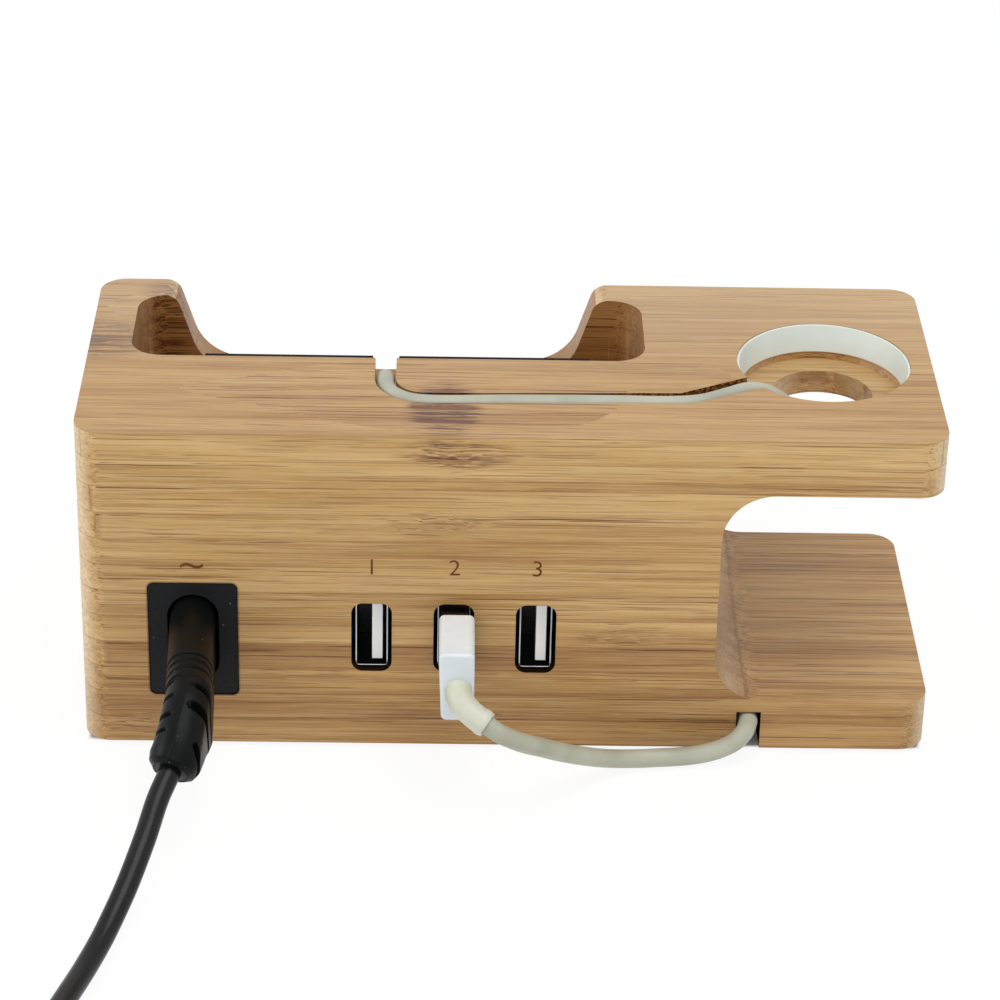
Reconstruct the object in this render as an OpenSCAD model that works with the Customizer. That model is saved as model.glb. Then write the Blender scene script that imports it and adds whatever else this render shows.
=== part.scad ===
// Bamboo charging stand: a phone slot, a watch arm over a tray, and a three-port charger
// built into the block behind the slot. The row's -Y side faces the person who uses it,
// +Y carries the ports and the mains inlet, and -X is the watch side.
// All sizes are in millimetres and the feet stand on z = 0.

/* [Bamboo block] */
// Overall width of the block
body_w = 148; // [140:1:180]
// Overall depth of the block, front to ports
body_d = 60.5; // [58:0.5:75]
// Height of the block without its feet
body_h = 61; // [56:1:75]
// Radius of the four upright corners
corner_r = 4.8; // [2:0.1:5]
// Height that the feet hold the block off the table
foot_gap = 0.8; // [0.4:0.1:2]

/* [Watch arm and tray] */
// Thickness of the arm that holds the watch
arm_t = 10.5; // [9:0.5:14]
// Thickness of the tray below the arm
tray_t = 9.6; // [9.2:0.1:14]
// Length of the open gap between arm and tray, from the watch end
gap_len = 37.9; // [34:0.1:38]
// Radius of the fillets at the inner end of the gap
gap_r = 9; // [4:0.5:12]
// Distance from the watch end to the centre of the watch well
well_in = 19; // [17:0.5:20]
// Inner radius of the white sleeve in the well
sleeve_r = 14.1; // [13.5:0.1:15]
// Wall of the white sleeve
sleeve_t = 1.1; // [0.8:0.1:1.5]
// Height of the white sleeve
sleeve_h = 4.9; // [4:0.1:5.5]
// Depth of the ledge that carries the watch charger
ledge_depth = 6.3; // [6:0.1:7]
// Radius of the hole through the arm below the ledge
well_hole_r = 9; // [6:0.5:11]

/* [Phone slot] */
// Width of the slot for the phone
slot_w = 90.5; // [82:0.5:96]
// Opening of the slot at the top, backrest to front wall
slot_d = 24.3; // [20:0.1:26]
// Thickness of the front wall
front_wall = 6.7; // [5:0.1:9]
// Depth of the slot below the top
slot_depth = 27.2; // [22:0.1:30]
// Radius of the slot's upright corners
slot_r = 5.5; // [3:0.5:8]
// Lean of the backrest from upright, in degrees
backrest_lean = 8; // [0:1:10]
// Distance from the inlet end to the slot
slot_in = 7.3; // [6:0.1:10]
// Half the width of the front opening at the top
opening_half = 38; // [32:0.5:40]
// Lean of the opening's ends, in degrees
opening_lean = 18; // [5:1:25]
// Radius of the hollow curve at the foot of each end
opening_r = 9.5; // [6:0.5:11]
// Height of the front lip at its middle, above the block's base
lip_h = 43.2; // [40:0.1:45]
// Thickness of the backrest pads
pad_t = 0.8; // [0.5:0.1:1.5]
// Height of the backrest pads
pad_h = 22; // [12:1:24]

/* [Cord ways] */
// Diameter of the watch lead's cord
lead_d = 3.3; // [2.8:0.1:3.4]
// Width of the slot and the top groove that hold the cord
groove_w = 3.7; // [3.6:0.1:4]
// Depth of the groove in the top
groove_depth = 3.4; // [3:0.1:4]
// Width of the channel in the underside
channel_w = 4.3; // [4:0.1:5]
// Depth of the channel in the underside
channel_depth = 7.35; // [6.8:0.05:7.6]

/* [Ports and inlet] */
// Distance between the centres of neighbouring ports
port_pitch = 14.2; // [13.6:0.1:15]
// Distance from the inlet end to the middle port
port_in = 64.6; // [63:0.1:66]
// Height of the ports' centres above the block's base
port_h = 21.7; // [20:0.1:24]
// Width of each port's cut-out in the wood
cutout_w = 7; // [6.6:0.1:8]
// Height of each port's cut-out in the wood
cutout_h = 13.6; // [13.4:0.1:15]
// Distance from the inlet end to the middle of the mains inlet
inlet_in = 19.6; // [18:0.1:20]
// Height of the inlet's centre above the block's base
inlet_h = 20.9; // [19:0.1:23]
// Width of the inlet's black face
inlet_w = 15.5; // [14:0.5:16]
// Height of the inlet's black face
inlet_face_h = 22.5; // [21:0.5:24]
// Distance between the inlet's two pins
pin_pitch = 8.6; // [8.6]

/* [Charger cavity] */
// Wood left behind the ports' side
back_wall = 3.5; // [3:0.1:4.5]
// Width of the cavity
cavity_w = 91; // [90.5:0.5:92]
// Depth of the cavity, front to back
cavity_d = 18.5; // [18:0.1:18.6]
// Height of the cavity above the block's base
cavity_h = 42; // [38:0.5:44]
// Distance from the inlet end to the cavity
cavity_in = 11; // [10.5:0.5:11]
// Thickness of the plate that closes the cavity
cover_t = 2.5; // [2:0.1:3]
// Thickness of the circuit board
board_t = 1.6; // [1:0.1:2]

/* [Leads] */
// Diameter of the mains cord
mains_d = 3.8; // [3.4:0.1:4]
// Outer radius of the coil, to the middle of the cord
coil_r = 30; // [28:0.5:34]
// Turns in the coil, in two layers
coil_turns = 6.25; // [4.25:1:8.25]
// Distance between neighbouring turns and layers, centre to centre
coil_pitch = 4.8; // [4.8:0.1:5.4]

/* [Hidden] */
$fn = 48;
eps = 0.01;
cut = 1;

bamboo = [0.78, 0.64, 0.44];
dark_plastic = [0.13, 0.13, 0.13];
white_plastic = [0.9, 0.92, 0.9];
cream = [0.8, 0.8, 0.72];
steel = [0.75, 0.76, 0.78];
gold = [0.85, 0.68, 0.3];

// Levels and faces of the block
base_z = foot_gap;
top_z = base_z + body_h;
front_y = -body_d / 2;
back_y = body_d / 2;
end_x = body_w / 2;
port_x = end_x - port_in;
inlet_x = end_x - inlet_in;

// Watch arm
gap_x = -end_x + gap_len;
gap_low = base_z + tray_t;
gap_high = top_z - arm_t;
well_x = -end_x + well_in;
seat_fit = 0.05;
ledge_z = top_z - ledge_depth;
sleeve_z = top_z - sleeve_h;
sleeve_drop = 0.9;
lead_gap = 5.2;
lead_gap_angle = 33.5;
// Recess in the ledge under the cord's end: wood left round the hole, depth, first and last angle
recess_rim = 1;
recess_depth = 1.2;
recess_from = 20;
recess_to = 97;

// Phone slot, its middle and its faces
slot_x = end_x - slot_in - slot_w / 2;
slot_front_y = front_y + front_wall;
slot_back_y = slot_front_y + slot_d;
slot_z = top_z - slot_depth;
opening_x = slot_x + 0.8;
pad_edge = 0.4;
// Bare backrest between a pad's end and the slot's end, on the inlet side and on the watch side
pad_in_left = 13.2;
pad_in_right = 9.9;

// Cord ways
cord_slot_x = slot_x + 0.35;
cord_slot_depth = 5.5;
ramp = 5;
cord_slot_back = slot_back_y + cord_slot_depth;
drop_w = 10.4;
drop_front_y = slot_front_y + 13;
channel_x = gap_x - 6.45;
channel_y = -6.5;
channel_bend = 11;
channel_top = base_z + channel_depth;
channel_lead_z = channel_top - 1.95;
// Top groove: centre and radius of its turn, and the point where it bends towards the well
turn_r = 7.3;
turn = [cord_slot_x - turn_r, slot_back_y + 7.75];
bend = [well_x + 25.5, 14.6];
lead_z = top_z - 1.5;

// Charger cavity, its cover and the board
cavity_y = back_y - back_wall - cavity_d;
cavity_x = end_x - cavity_in - cavity_w;
cover_lip = 3;
cover_end_lip = 6.5;
cover_back_lip = 1.5;
screw_r = 1.3;
screw_head_r = 2.5;
screw_len = 11;
screw_in = 3.2;
board_x0 = cavity_x + 1.5;
board_x1 = cavity_x + 72.5;
board_y0 = cavity_y + 0.9;
board_y1 = back_y - back_wall - 0.4;
shell_w = 5.7;
shell_h = 13.1;
shell_len = 14;
shell_t = 0.3;
port_z = base_z + port_h;
port_face = back_y - 1.3;
board_top = port_z - shell_h / 2;
board_low = board_top - board_t;
post_x = [board_x0 + 4, board_x1 - 4];
post_y = cavity_y + 4.5;

// Mains inlet and the plug in it
inlet_z = base_z + inlet_h;
inlet_len = 16;
inlet_face = back_y - 0.2;
recess_len = 11.5;
recess_r = 4.4;
pin_r = 1.2;
plug_r = 3.85;
plug_end = back_y + 25;
plug_tip = inlet_face - recess_len + 1;
socket_r = 1.25;
contact_r = 1.75;

// Middle port's plug
grip_w = 6.1;
grip_h = 12.95;
grip_face = back_y + 2.9;
grip_len = 13.6;
plug_shell_w = 4.5;
plug_shell_h = 12;
plug_shell_len = 11.75;

// Feet: two on the front, one on the tray, one under the cover
foot_r = 4.5;
foot_t = 1.6;
feet = [[end_x - 12, front_y + 8], [-end_x + 10, front_y + 8], [-end_x + 10, back_y - 8],
    [end_x - 18, back_y - 13]];

// Routes are drawn for the standard sizes, then eased to where their two ends stand
function eased(p, da, db) = let (n = len(p) - 1)
    [for (i = [0:n]) p[i] + da * (1 - i / n) + db * i / n];
inlet_shift = [inlet_x - 54.4, plug_end - 55.25, inlet_z - 21.7];
port_shift = [port_x - 9.4, back_y - 30.25, port_z - 22.5];
notch_shift = [channel_x + 42.55, back_y - 30.25, channel_lead_z - 6.2];

// Route of the mains cord from its strain relief to its coil, as it lies on the table
mains_drawn = [[55.9, 66.8, 18.2], [57.6, 70.6, 15.6], [59.2, 76.6, 12.4], [60.6, 80.8, 9.8],
    [62, 84.6, 7.4], [63.6, 88.6, 5.2], [65.3, 93.2, 3.4], [67.5, 99.6, 2.2], [69.8, 107, 2],
    [71.9, 114, 2], [73.6, 122, 2.2], [74.8, 131, 2.5], [75.4, 140, 2.6], [75.5, 147.2, 2.6]];
// Middle of the strain relief, and half its width and height at each point
relief_drawn = [[54.4, 55.25, 21.7], [54.4, 58.4, 21.6], [54.6, 61.4, 21], [55, 64.2, 19.8],
    [55.9, 66.8, 18.2]];
relief_route = eased(relief_drawn, inlet_shift, inlet_shift);
relief_size = [[3.85, 8.1], [3.9, 7.4], [4.1, 6.2], [4.4, 5.1], [4.2, 4.4]];
coil_centre = [45.5, 151];
coil_low = mains_d / 2 + 0.7;
coil_tail = 8;
coil_start = [coil_centre.x + coil_r, coil_centre.y - mains_d, coil_low];
mains_route = eased(mains_drawn, inlet_shift, coil_start - [75.5, 147.2, 2.6]);
coil_steps = 24;

// Route of the watch cord over the table, from its sleeve to the notch in the base
free_drawn = [[3.6, 52.6, 19], [1.5, 53.6, 18], [-0.4, 53.4, 16.9], [-2.4, 52.2, 15.3], [-5.6, 49.6, 12.8],
    [-9.2, 46.4, 9.8], [-12.8, 42.8, 6.8], [-16.4, 39.4, 4.2], [-19.9, 37.1, 2.6], [-23.4, 35.6, 2],
    [-27, 34.8, 1.8], [-30.4, 34.4, 2.2], [-33.9, 34.5, 3.4], [-37.3, 34.4, 5], [-40.2, 33.4, 6],
    [-41.9, 31.9, 6.2], [-42.55, 30.25, 6.2]];
free_route = eased(free_drawn, port_shift, notch_shift);
sleeve_drawn = [[8.6, 46.75, 22.3], [8.5, 48.4, 22.2], [7.6, 50.4, 21.5], [5.9, 51.8, 20.4],
    [3.6, 52.6, 19]];
sleeve_route = eased(sleeve_drawn, port_shift, port_shift);
// Route of the watch cord inside the stand: channel, bend, drop hole, slot, top groove, well
bend_at = [channel_x + channel_bend, channel_y + channel_bend];
held_low = concat(
    [for (y = [back_y, back_y - 6, back_y - 16, bend_at.y + 0.1]) [channel_x, y, channel_lead_z]],
    [for (a = [22.5, 45, 67.5]) [bend_at.x - channel_bend * cos(a), bend_at.y - channel_bend * sin(a),
    channel_lead_z]], [for (x = [bend_at.x, -16, 0, cord_slot_x - 8.8, cord_slot_x - 5.6])
    [x, channel_y, channel_lead_z]]);
held_rise = [for (d = [[-3.2, 0.2, 0.8], [-1.2, 0.7, 3], [-0.2, 1.7, 6.2], [0, 3.5, 10.3]])
    [cord_slot_x, channel_y, channel_lead_z] + d];
held_up = [for (d = [[-1.35, 21.5], [1.25, 27.5], [3.05, 34], [3.65, 41]])
    [cord_slot_x, slot_back_y + d.x, base_z - 0.8 + d.y]];
held_over = [for (d = [[0, 3.65, -11.8], [0, 3.75, -7.4], [0, 4.25, -4.8], [0, 5.55, -2.7], [0, 7.45, -1.6],
    [-0.3, 9.65, -1.5]]) [cord_slot_x, slot_back_y, top_z] + d];
held_turn = [for (a = [35, 60, 87]) [turn.x + turn_r * cos(a), turn.y + turn_r * sin(a), lead_z]];
held_run = [[0, 15.4, lead_z], [-16, 15, lead_z]];
held_well = [for (d = [[26, 14.6, -1.5], [22, 13.5, -1.5], [17.6, 11, -1.5], [13.7, 8.8, -1.5],
    [10.7, 8.1, -2.2], [8.6, 8.7, -3.1], [6.7, 9.8, -4], [5.4, 11, -4.4]]) [well_x, 0, top_z] + d];
held_route = concat(held_low, held_rise, held_up, held_over, held_turn, held_run, held_well);
boss_face = held_route[len(held_route) - 1];
boss_way = [-0.74, 0.67, 0] / norm([-0.74, 0.67]);
boss_top = boss_face.z + lead_d / 2 + 0.1;

// Unit vector, and the way a route runs at one of its points
function unit(v) = v / norm(v);
function heading(p, i) = unit(p[min(i + 1, len(p) - 1)] - p[max(i - 1, 0)]);
// Side and up directions square to a heading
function side_of(h) = unit(cross(h, abs(h.z) > 0.9 ? [0, 1, 0] : [0, 0, 1]));
function ring_at(c, h, a, b, n) =
    let (s = side_of(h), u = cross(s, h))
    [for (k = [0:n - 1]) c + a * cos(360 * k / n) * s + b * sin(360 * k / n) * u];
// The first and last ring of a route stand square to the piece that it meets
function ring_heading(p, i, first, last) = i == 0 && first != undef ? first
    : i == len(p) - 1 && last != undef ? last : heading(p, i);

// A solid swept along a route, with a half width and half height at each point
// and, where given, the way that it leaves its first piece and meets its last one
module swept(p, size, n, first = undef, last = undef) {
    rings = [for (i = [0:len(p) - 1]) each
        ring_at(p[i], ring_heading(p, i, first, last), size[i][0], size[i][1], n)];
    m = len(p);
    walls = [for (i = [0:m - 2]) for (k = [0:n - 1]) each
        [[i * n + k, (i + 1) * n + k, i * n + (k + 1) % n],
        [i * n + (k + 1) % n, (i + 1) * n + k, (i + 1) * n + (k + 1) % n]]];
    ends = [for (k = [1:n - 2]) each [[0, k, k + 1], [(m - 1) * n, (m - 1) * n + k + 1, (m - 1) * n + k]]];
    polyhedron(rings, concat(walls, ends));
}
module tube(p, r, n, first = undef, last = undef) {
    swept(p, [for (q = p) [r, r]], n, first, last);
}

// Plain solids
module box(low, high) {
    translate(low) cube(high - low);
}
module rounded_plate(w, d, r) {
    square([w - 2 * r, d], center = true);
    square([w, d - 2 * r], center = true);
    for (x = [-1, 1]) for (y = [-1, 1]) translate([x * (w / 2 - r), y * (d / 2 - r)]) circle(r);
}
// A plate that stands across Y, drawn in x and z, from one y to another
module across(y0, y1) {
    translate([0, y1, 0]) rotate([90, 0, 0]) linear_extrude(y1 - y0) children();
}
module oblong(r, pitch) {
    square([2 * r, pitch], center = true);
    for (s = [-1, 1]) translate([0, s * pitch / 2]) circle(r);
}
module rod(from, to, r) {
    d = to - from;
    translate(from) rotate([0, acos(d.z / norm(d)), atan2(d.y, d.x)]) cylinder(h = norm(d), r = r);
}

// Front opening: two leaning ends, a hollow curve at each foot and a shallow sag between them
lip_slope = 12;
end_round = 3;
open_k = tan(lip_slope / 2);
open_t = (body_h + opening_r * sin(opening_lean) - 2 * opening_r * cos(lip_slope) + opening_r
    - open_k * (opening_half - opening_r * cos(opening_lean)) - lip_h)
    / (cos(opening_lean) - open_k * sin(opening_lean));
foot_x = opening_half - open_t * sin(opening_lean) - opening_r * cos(opening_lean);
foot_z = body_h - open_t * cos(opening_lean) + opening_r * sin(opening_lean);
sag_r = (foot_x - opening_r * sin(lip_slope)) / sin(lip_slope);
round_x = opening_half + end_round * (1 - sin(opening_lean)) / cos(opening_lean);
function bow(cx, cz, r, a0, a1, n) = [for (k = [0:n]) [cx + r * cos(a0 + (a1 - a0) * k / n),
    cz + r * sin(a0 + (a1 - a0) * k / n)]];
opening_side = concat([[round_x, body_h + cut]],
    bow(round_x, body_h - end_round, end_round, 90, 180 - opening_lean, 8),
    bow(foot_x, foot_z, opening_r, -opening_lean, -90 - lip_slope, 14));
function mirrored(p) = [for (i = [len(p) - 1:-1:0]) [-p[i].x, p[i].y]];
opening_outline = concat(opening_side,
    bow(0, lip_h + sag_r, sag_r, -90 + lip_slope, -90 - lip_slope, 16), mirrored(opening_side));

module bamboo_body() {
    color(bamboo) difference() {
        translate([0, 0, base_z]) linear_extrude(body_h) rounded_plate(body_w, body_d, corner_r);
        arm_gap();
        phone_slot();
        across(front_y - cut, slot_front_y + cut) translate([opening_x, base_z]) polygon(opening_outline);
        cord_slot();
        top_groove();
        watch_well();
        base_channel();
        port_cutouts();
        charger_cavity();
        foot_recesses();
    }
}
// Open gap between arm and tray, right through from front to back
module arm_gap() {
    across(front_y - cut, back_y + cut) {
        translate([-end_x - cut, gap_low]) square([gap_len + cut - gap_r, gap_high - gap_low]);
        translate([-end_x - cut, gap_low + gap_r]) square([gap_len + cut, gap_high - gap_low - 2 * gap_r]);
        for (z = [gap_low + gap_r, gap_high - gap_r]) translate([gap_x - gap_r, z]) circle(gap_r);
    }
}
// Slot for the phone, with a leaning backrest
module phone_slot() {
    foot_y = slot_back_y - slot_depth * tan(backrest_lean);
    intersection() {
        translate([slot_x, (slot_front_y + slot_back_y) / 2, slot_z])
            linear_extrude(slot_depth + cut) rounded_plate(slot_w, slot_d, slot_r);
        translate([slot_x - slot_w, 0, 0]) rotate([90, 0, 90]) linear_extrude(2 * slot_w)
            polygon([[slot_front_y - cut, slot_z - cut], [foot_y - cut * tan(backrest_lean), slot_z - cut],
                [slot_back_y + 3 * tan(backrest_lean), top_z + 3], [slot_front_y - cut, top_z + 3]]);
    }
}
// Upright groove in the backrest, and the drop hole in the slot's floor
module cord_slot() {
    box([cord_slot_x - groove_w / 2, drop_front_y, channel_top - cut],
        [cord_slot_x + groove_w / 2, cord_slot_back - groove_w / 2, top_z + cut]);
    translate([cord_slot_x, cord_slot_back - groove_w / 2, channel_top - cut])
        cylinder(h = top_z - channel_top + 2 * cut, d = groove_w);
    box([cord_slot_x - drop_w / 2, drop_front_y, base_z - cut],
        [cord_slot_x + drop_w / 2, slot_back_y - 4, slot_z + cut]);
    translate([cord_slot_x - groove_w / 2, 0, top_z - groove_depth]) rotate([90, 0, 90])
        linear_extrude(groove_w) polygon([[cord_slot_back - ramp, -ramp], [cord_slot_back, -ramp],
            [cord_slot_back + ramp, 0], [cord_slot_back + ramp, cut], [cord_slot_back - ramp, cut]]);
}
// Groove in the top for the cord: out of the slot, round to the watch side, into the well
module top_groove() {
    r = groove_w / 2;
    h = groove_depth + cut;
    translate([0, 0, top_z - groove_depth]) {
        translate([cord_slot_x - r, cord_slot_back - r, 0]) cube([groove_w, turn.y - cord_slot_back + r, h]);
        translate([turn.x, turn.y, 0]) rotate_extrude(angle = 90)
            translate([turn_r - r, 0]) square([groove_w, h]);
        linear_extrude(h) polygon([[turn.x, turn.y + turn_r + r], [turn.x, turn.y + turn_r - r],
            [bend.x + 0.3, bend.y - r], [well_x + 11, 4.8], [well_x + 9.5, 9.4],
            [bend.x - 1.1, bend.y + r + 0.25], [bend.x, bend.y + r]]);
    }
}
module watch_well() {
    translate([well_x, 0, sleeve_z]) cylinder(h = sleeve_h + cut, r = sleeve_r + sleeve_t + seat_fit);
    translate([well_x, 0, ledge_z]) cylinder(h = ledge_depth + cut, r = sleeve_r);
    translate([well_x, 0, gap_high - cut]) cylinder(h = arm_t + 2 * cut, r = well_hole_r);
    recess_in = well_hole_r + recess_rim;
    translate([well_x, 0, ledge_z - recess_depth]) rotate([0, 0, recess_from])
        rotate_extrude(angle = recess_to - recess_from)
        translate([recess_in, 0]) square([sleeve_r - recess_in, recess_depth + cut]);
}
// Channel in the underside: from the notch under the ports' side round to the drop hole
module base_channel() {
    z0 = base_z - cut;
    h = channel_depth + cut;
    bend_x = channel_x + channel_bend;
    bend_y = channel_y + channel_bend;
    box([channel_x - channel_w / 2, bend_y, z0], [channel_x + channel_w / 2, back_y + cut, z0 + h]);
    translate([bend_x, bend_y, z0]) rotate([0, 0, 180]) rotate_extrude(angle = 90)
        translate([channel_bend - channel_w / 2, 0]) square([channel_w, h]);
    box([bend_x, channel_y - channel_w / 2, z0], [cord_slot_x, channel_y + channel_w / 2, z0 + h]);
}
module port_cutouts() {
    for (k = [-1:1]) across(back_y - back_wall - cut, back_y + cut)
        translate([port_x + k * port_pitch, port_z]) rounded_plate(cutout_w, cutout_h, 2);
    across(back_y - back_wall - cut, back_y + cut)
        translate([inlet_x, inlet_z]) rounded_plate(inlet_w, inlet_face_h, 1.2);
}
module charger_cavity() {
    box([cavity_x, cavity_y, base_z - cut], [cavity_x + cavity_w, cavity_y + cavity_d, base_z + cavity_h]);
    cover_outline(base_z - cut, base_z + cover_t);
    for (p = cover_screw_places()) translate([p.x, p.y, base_z])
        cylinder(h = screw_len + 0.5, r = screw_r);
}
module cover_outline(z0, z1) {
    box([cavity_x - cover_end_lip, cavity_y - cover_lip, z0],
        [cavity_x + cavity_w + cover_end_lip, cavity_y + cavity_d + cover_back_lip, z1]);
}
function cover_screw_places() = [for (x = [cavity_x - screw_in, cavity_x + cavity_w + screw_in])
    for (y = [cavity_y + 2, cavity_y + cavity_d - 3]) [x, y]];
module foot_recesses() {
    for (p = feet) translate([p.x, p.y, base_z - cut])
        cylinder(h = foot_t - foot_gap + cut, r = foot_r + 0.1);
}

module base_cover() {
    color(dark_plastic) difference() {
        union() {
            box([cavity_x - cover_end_lip + 0.2, cavity_y - cover_lip + 0.2, base_z],
                [cavity_x + cavity_w + cover_end_lip - 0.2, cavity_y + cavity_d + cover_back_lip - 0.2,
                base_z + cover_t]);
            for (x = post_x) translate([x, post_y, base_z]) cylinder(h = board_low - base_z, r = 3);
        }
        for (p = cover_screw_places()) translate([p.x, p.y, 0]) {
            translate([0, 0, base_z]) cylinder(h = 1.5, r1 = screw_head_r + 0.1, r2 = screw_r + 0.1);
            cylinder(h = 2 * cover_t + 2, r = screw_r + 0.1);
        }
        for (x = post_x) translate([x, post_y, board_low - 6]) cylinder(h = 8, r = 1.1);
        foot_recesses();
    }
}
module base_screws() {
    color(steel) for (p = cover_screw_places()) translate([p.x, p.y, base_z]) difference() {
        union() {
            cylinder(h = 1.5, r1 = screw_head_r, r2 = screw_r);
            cylinder(h = screw_len, r = screw_r);
        }
        for (a = [0, 90]) rotate([0, 0, a]) translate([-1.5, -0.3, -cut]) cube([3, 0.6, 1.8]);
    }
}
module rubber_feet() {
    color([0.2, 0.2, 0.2]) for (p = feet) translate([p.x, p.y, 0]) {
        translate([0, 0, 0.4]) cylinder(h = foot_t - 0.4, r = foot_r);
        cylinder(h = 0.4, r1 = foot_r - 0.4, r2 = foot_r);
    }
}
// Pad on the leaning backrest, from one x to another
module backrest_pad(x0, x1) {
    color([0.15, 0.15, 0.16]) translate([x0, slot_back_y, top_z]) rotate([-backrest_lean, 0, 0])
        translate([0, -pad_t, -pad_h - pad_edge]) cube([x1 - x0, pad_t, pad_h]);
}
module phone_pad_left() {
    backrest_pad(cord_slot_x + groove_w / 2 + 0.4, slot_x + slot_w / 2 - pad_in_left);
}
module phone_pad_right() {
    backrest_pad(slot_x - slot_w / 2 + pad_in_right, cord_slot_x - groove_w / 2 - 0.4);
}
// White liner of the watch well, with a gap and a boss where the cord goes into it
module watch_sleeve() {
    color(white_plastic) {
        difference() {
            translate([well_x, 0, sleeve_z]) cylinder(h = sleeve_h, r = sleeve_r + sleeve_t);
            translate([well_x, 0, sleeve_z - cut]) cylinder(h = sleeve_h + 2 * cut, r = sleeve_r);
            translate([well_x, 0, sleeve_z - cut]) rotate([0, 0, lead_gap_angle])
                translate([0, -lead_gap / 2, 0]) cube([30, lead_gap, sleeve_h + 2 * cut]);
            translate([well_x - 20, -sleeve_r - 2, top_z]) rotate([-atan(sleeve_drop / 30), 0, 0])
                cube([40, 60, 5]);
        }
        boss_z = ledge_z - recess_depth + 0.2;
        intersection() {
            translate([well_x, 0, 0]) difference() {
                union() {
                    translate([0, 0, boss_z]) cylinder(h = sleeve_z + 0.3 - boss_z, r = sleeve_r - 0.05);
                    translate([0, 0, sleeve_z]) cylinder(h = boss_top - sleeve_z, r = sleeve_r + 0.5);
                }
                translate([0, 0, boss_z - cut]) cylinder(h = 10, r = well_hole_r + recess_rim + 0.2);
            }
            translate([boss_face.x, boss_face.y, boss_z]) rotate([0, 0, atan2(boss_way.y, boss_way.x)])
                translate([0, -2.6, 0]) cube([5, 6.2, 6]);
        }
    }
}

module inlet_housing() {
    color(dark_plastic) difference() {
        across(inlet_face - inlet_len, inlet_face)
            translate([inlet_x, inlet_z]) rounded_plate(inlet_w - 0.1, inlet_face_h - 0.1, 1.15);
        across(inlet_face - recess_len, inlet_face + cut)
            translate([inlet_x, inlet_z]) oblong(recess_r, pin_pitch);
        for (s = [-1, 1]) rod([inlet_x, inlet_face + cut, inlet_z + s * pin_pitch / 2],
            [inlet_x, inlet_face - inlet_len - cut, inlet_z + s * pin_pitch / 2], pin_r);
    }
}
module inlet_pins() {
    color(gold) for (s = [-1, 1]) rod([inlet_x, inlet_face - 2.5, inlet_z + s * pin_pitch / 2],
        [inlet_x, inlet_face - inlet_len - 1.6, inlet_z + s * pin_pitch / 2], pin_r);
}
// Wires from the inlet's pins to the board; each step is counted from the pin or from the board
wire_r = 0.7;
module live_wire() {
    p = [inlet_x - pin_r, inlet_face - inlet_len - wire_r - 0.1, inlet_z + pin_pitch / 2];
    q = [board_x1 - 1.1, p.y + 2.15, board_top];
    color([0.45, 0.25, 0.12]) tube([p, p - [1.8, 0, 0], p - [5.6, 0.35, 0.4],
        [q.x + 1.6, p.y + 0.35, p.z - 2.4], q + [0.2, -0.4, 3.7], q + [0, 0, 1.5], q],
        wire_r, 8, [-1, 0, 0], [0, 0, -1]);
}
module neutral_wire() {
    p = [inlet_x - pin_r, inlet_face - inlet_len - wire_r - 0.1, inlet_z - pin_pitch / 2];
    q = [board_x1 - 1.1, p.y - 2.85, board_top];
    color([0.2, 0.35, 0.7]) tube([p, p + [-1.8, 0, 0.2], p + [-5.4, -1.4, 1], q + [1.6, 0.2, 2.7],
        q + [0.2, 0, 1.6], q], wire_r, 8, [-1, 0, 0], [0, 0, -1]);
}

module charger_board() {
    color([0.1, 0.35, 0.2]) difference() {
        box([board_x0, board_y0, board_low], [board_x1, board_y1, board_top]);
        for (x = post_x) translate([x, post_y, board_low - cut]) cylinder(h = board_t + 2 * cut, r = 1.35);
    }
}
module board_screws() {
    color(steel) for (x = post_x) translate([x, post_y, 0]) {
        translate([0, 0, board_top]) cylinder(h = 1.4, r = 2.1);
        translate([0, 0, board_top - 7]) cylinder(h = 7.1, r = 1.1);
    }
}
// Three receptacles on edge; k counts from the inlet side
function port_centre(k) = port_x + (2 - k) * port_pitch;
module usb_shell(k) {
    color(steel) difference() {
        across(port_face - shell_len, port_face)
            translate([port_centre(k), port_z]) rounded_plate(shell_w, shell_h, 0.6);
        across(port_face - shell_len - cut, port_face + cut)
            translate([port_centre(k), port_z])
            rounded_plate(shell_w - 2 * shell_t, shell_h - 2 * shell_t, 0.3);
    }
}
tongue_t = 1.84;
tongue_off = 0.06;
tongue_w = 11.1;
contact_len = 6.6;
contact_t = 0.25;
pin_rows = [-3.5, -1, 1, 3.5];
module usb_tongue(k) {
    x = port_centre(k);
    color(white_plastic) difference() {
        union() {
            across(port_face - shell_len, port_face - shell_len + 3.4) translate([x, port_z])
                rounded_plate(shell_w - 2 * shell_t, shell_h - 2 * shell_t, 0.3);
            box([x - tongue_off - tongue_t, port_face - shell_len + 3, port_z - tongue_w / 2],
                [x - tongue_off, port_face - 0.8, port_z + tongue_w / 2]);
        }
        contact_strips(k);
    }
}
module contact_strips(k) {
    x = port_centre(k) - tongue_off;
    for (z = pin_rows) box([x - contact_t, port_face - 1.8 - contact_len, port_z + z - 0.5],
        [x, port_face - 1.8, port_z + z + 0.5]);
}
module usb_contacts(k) {
    color(gold) contact_strips(k);
}
module usb_shell_1() { usb_shell(1); }
module usb_shell_2() { usb_shell(2); }
module usb_shell_3() { usb_shell(3); }
module usb_tongue_1() { usb_tongue(1); }
module usb_tongue_2() { usb_tongue(2); }
module usb_tongue_3() { usb_tongue(3); }
module usb_contacts_1() { usb_contacts(1); }
module usb_contacts_2() { usb_contacts(2); }
module usb_contacts_3() { usb_contacts(3); }

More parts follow.
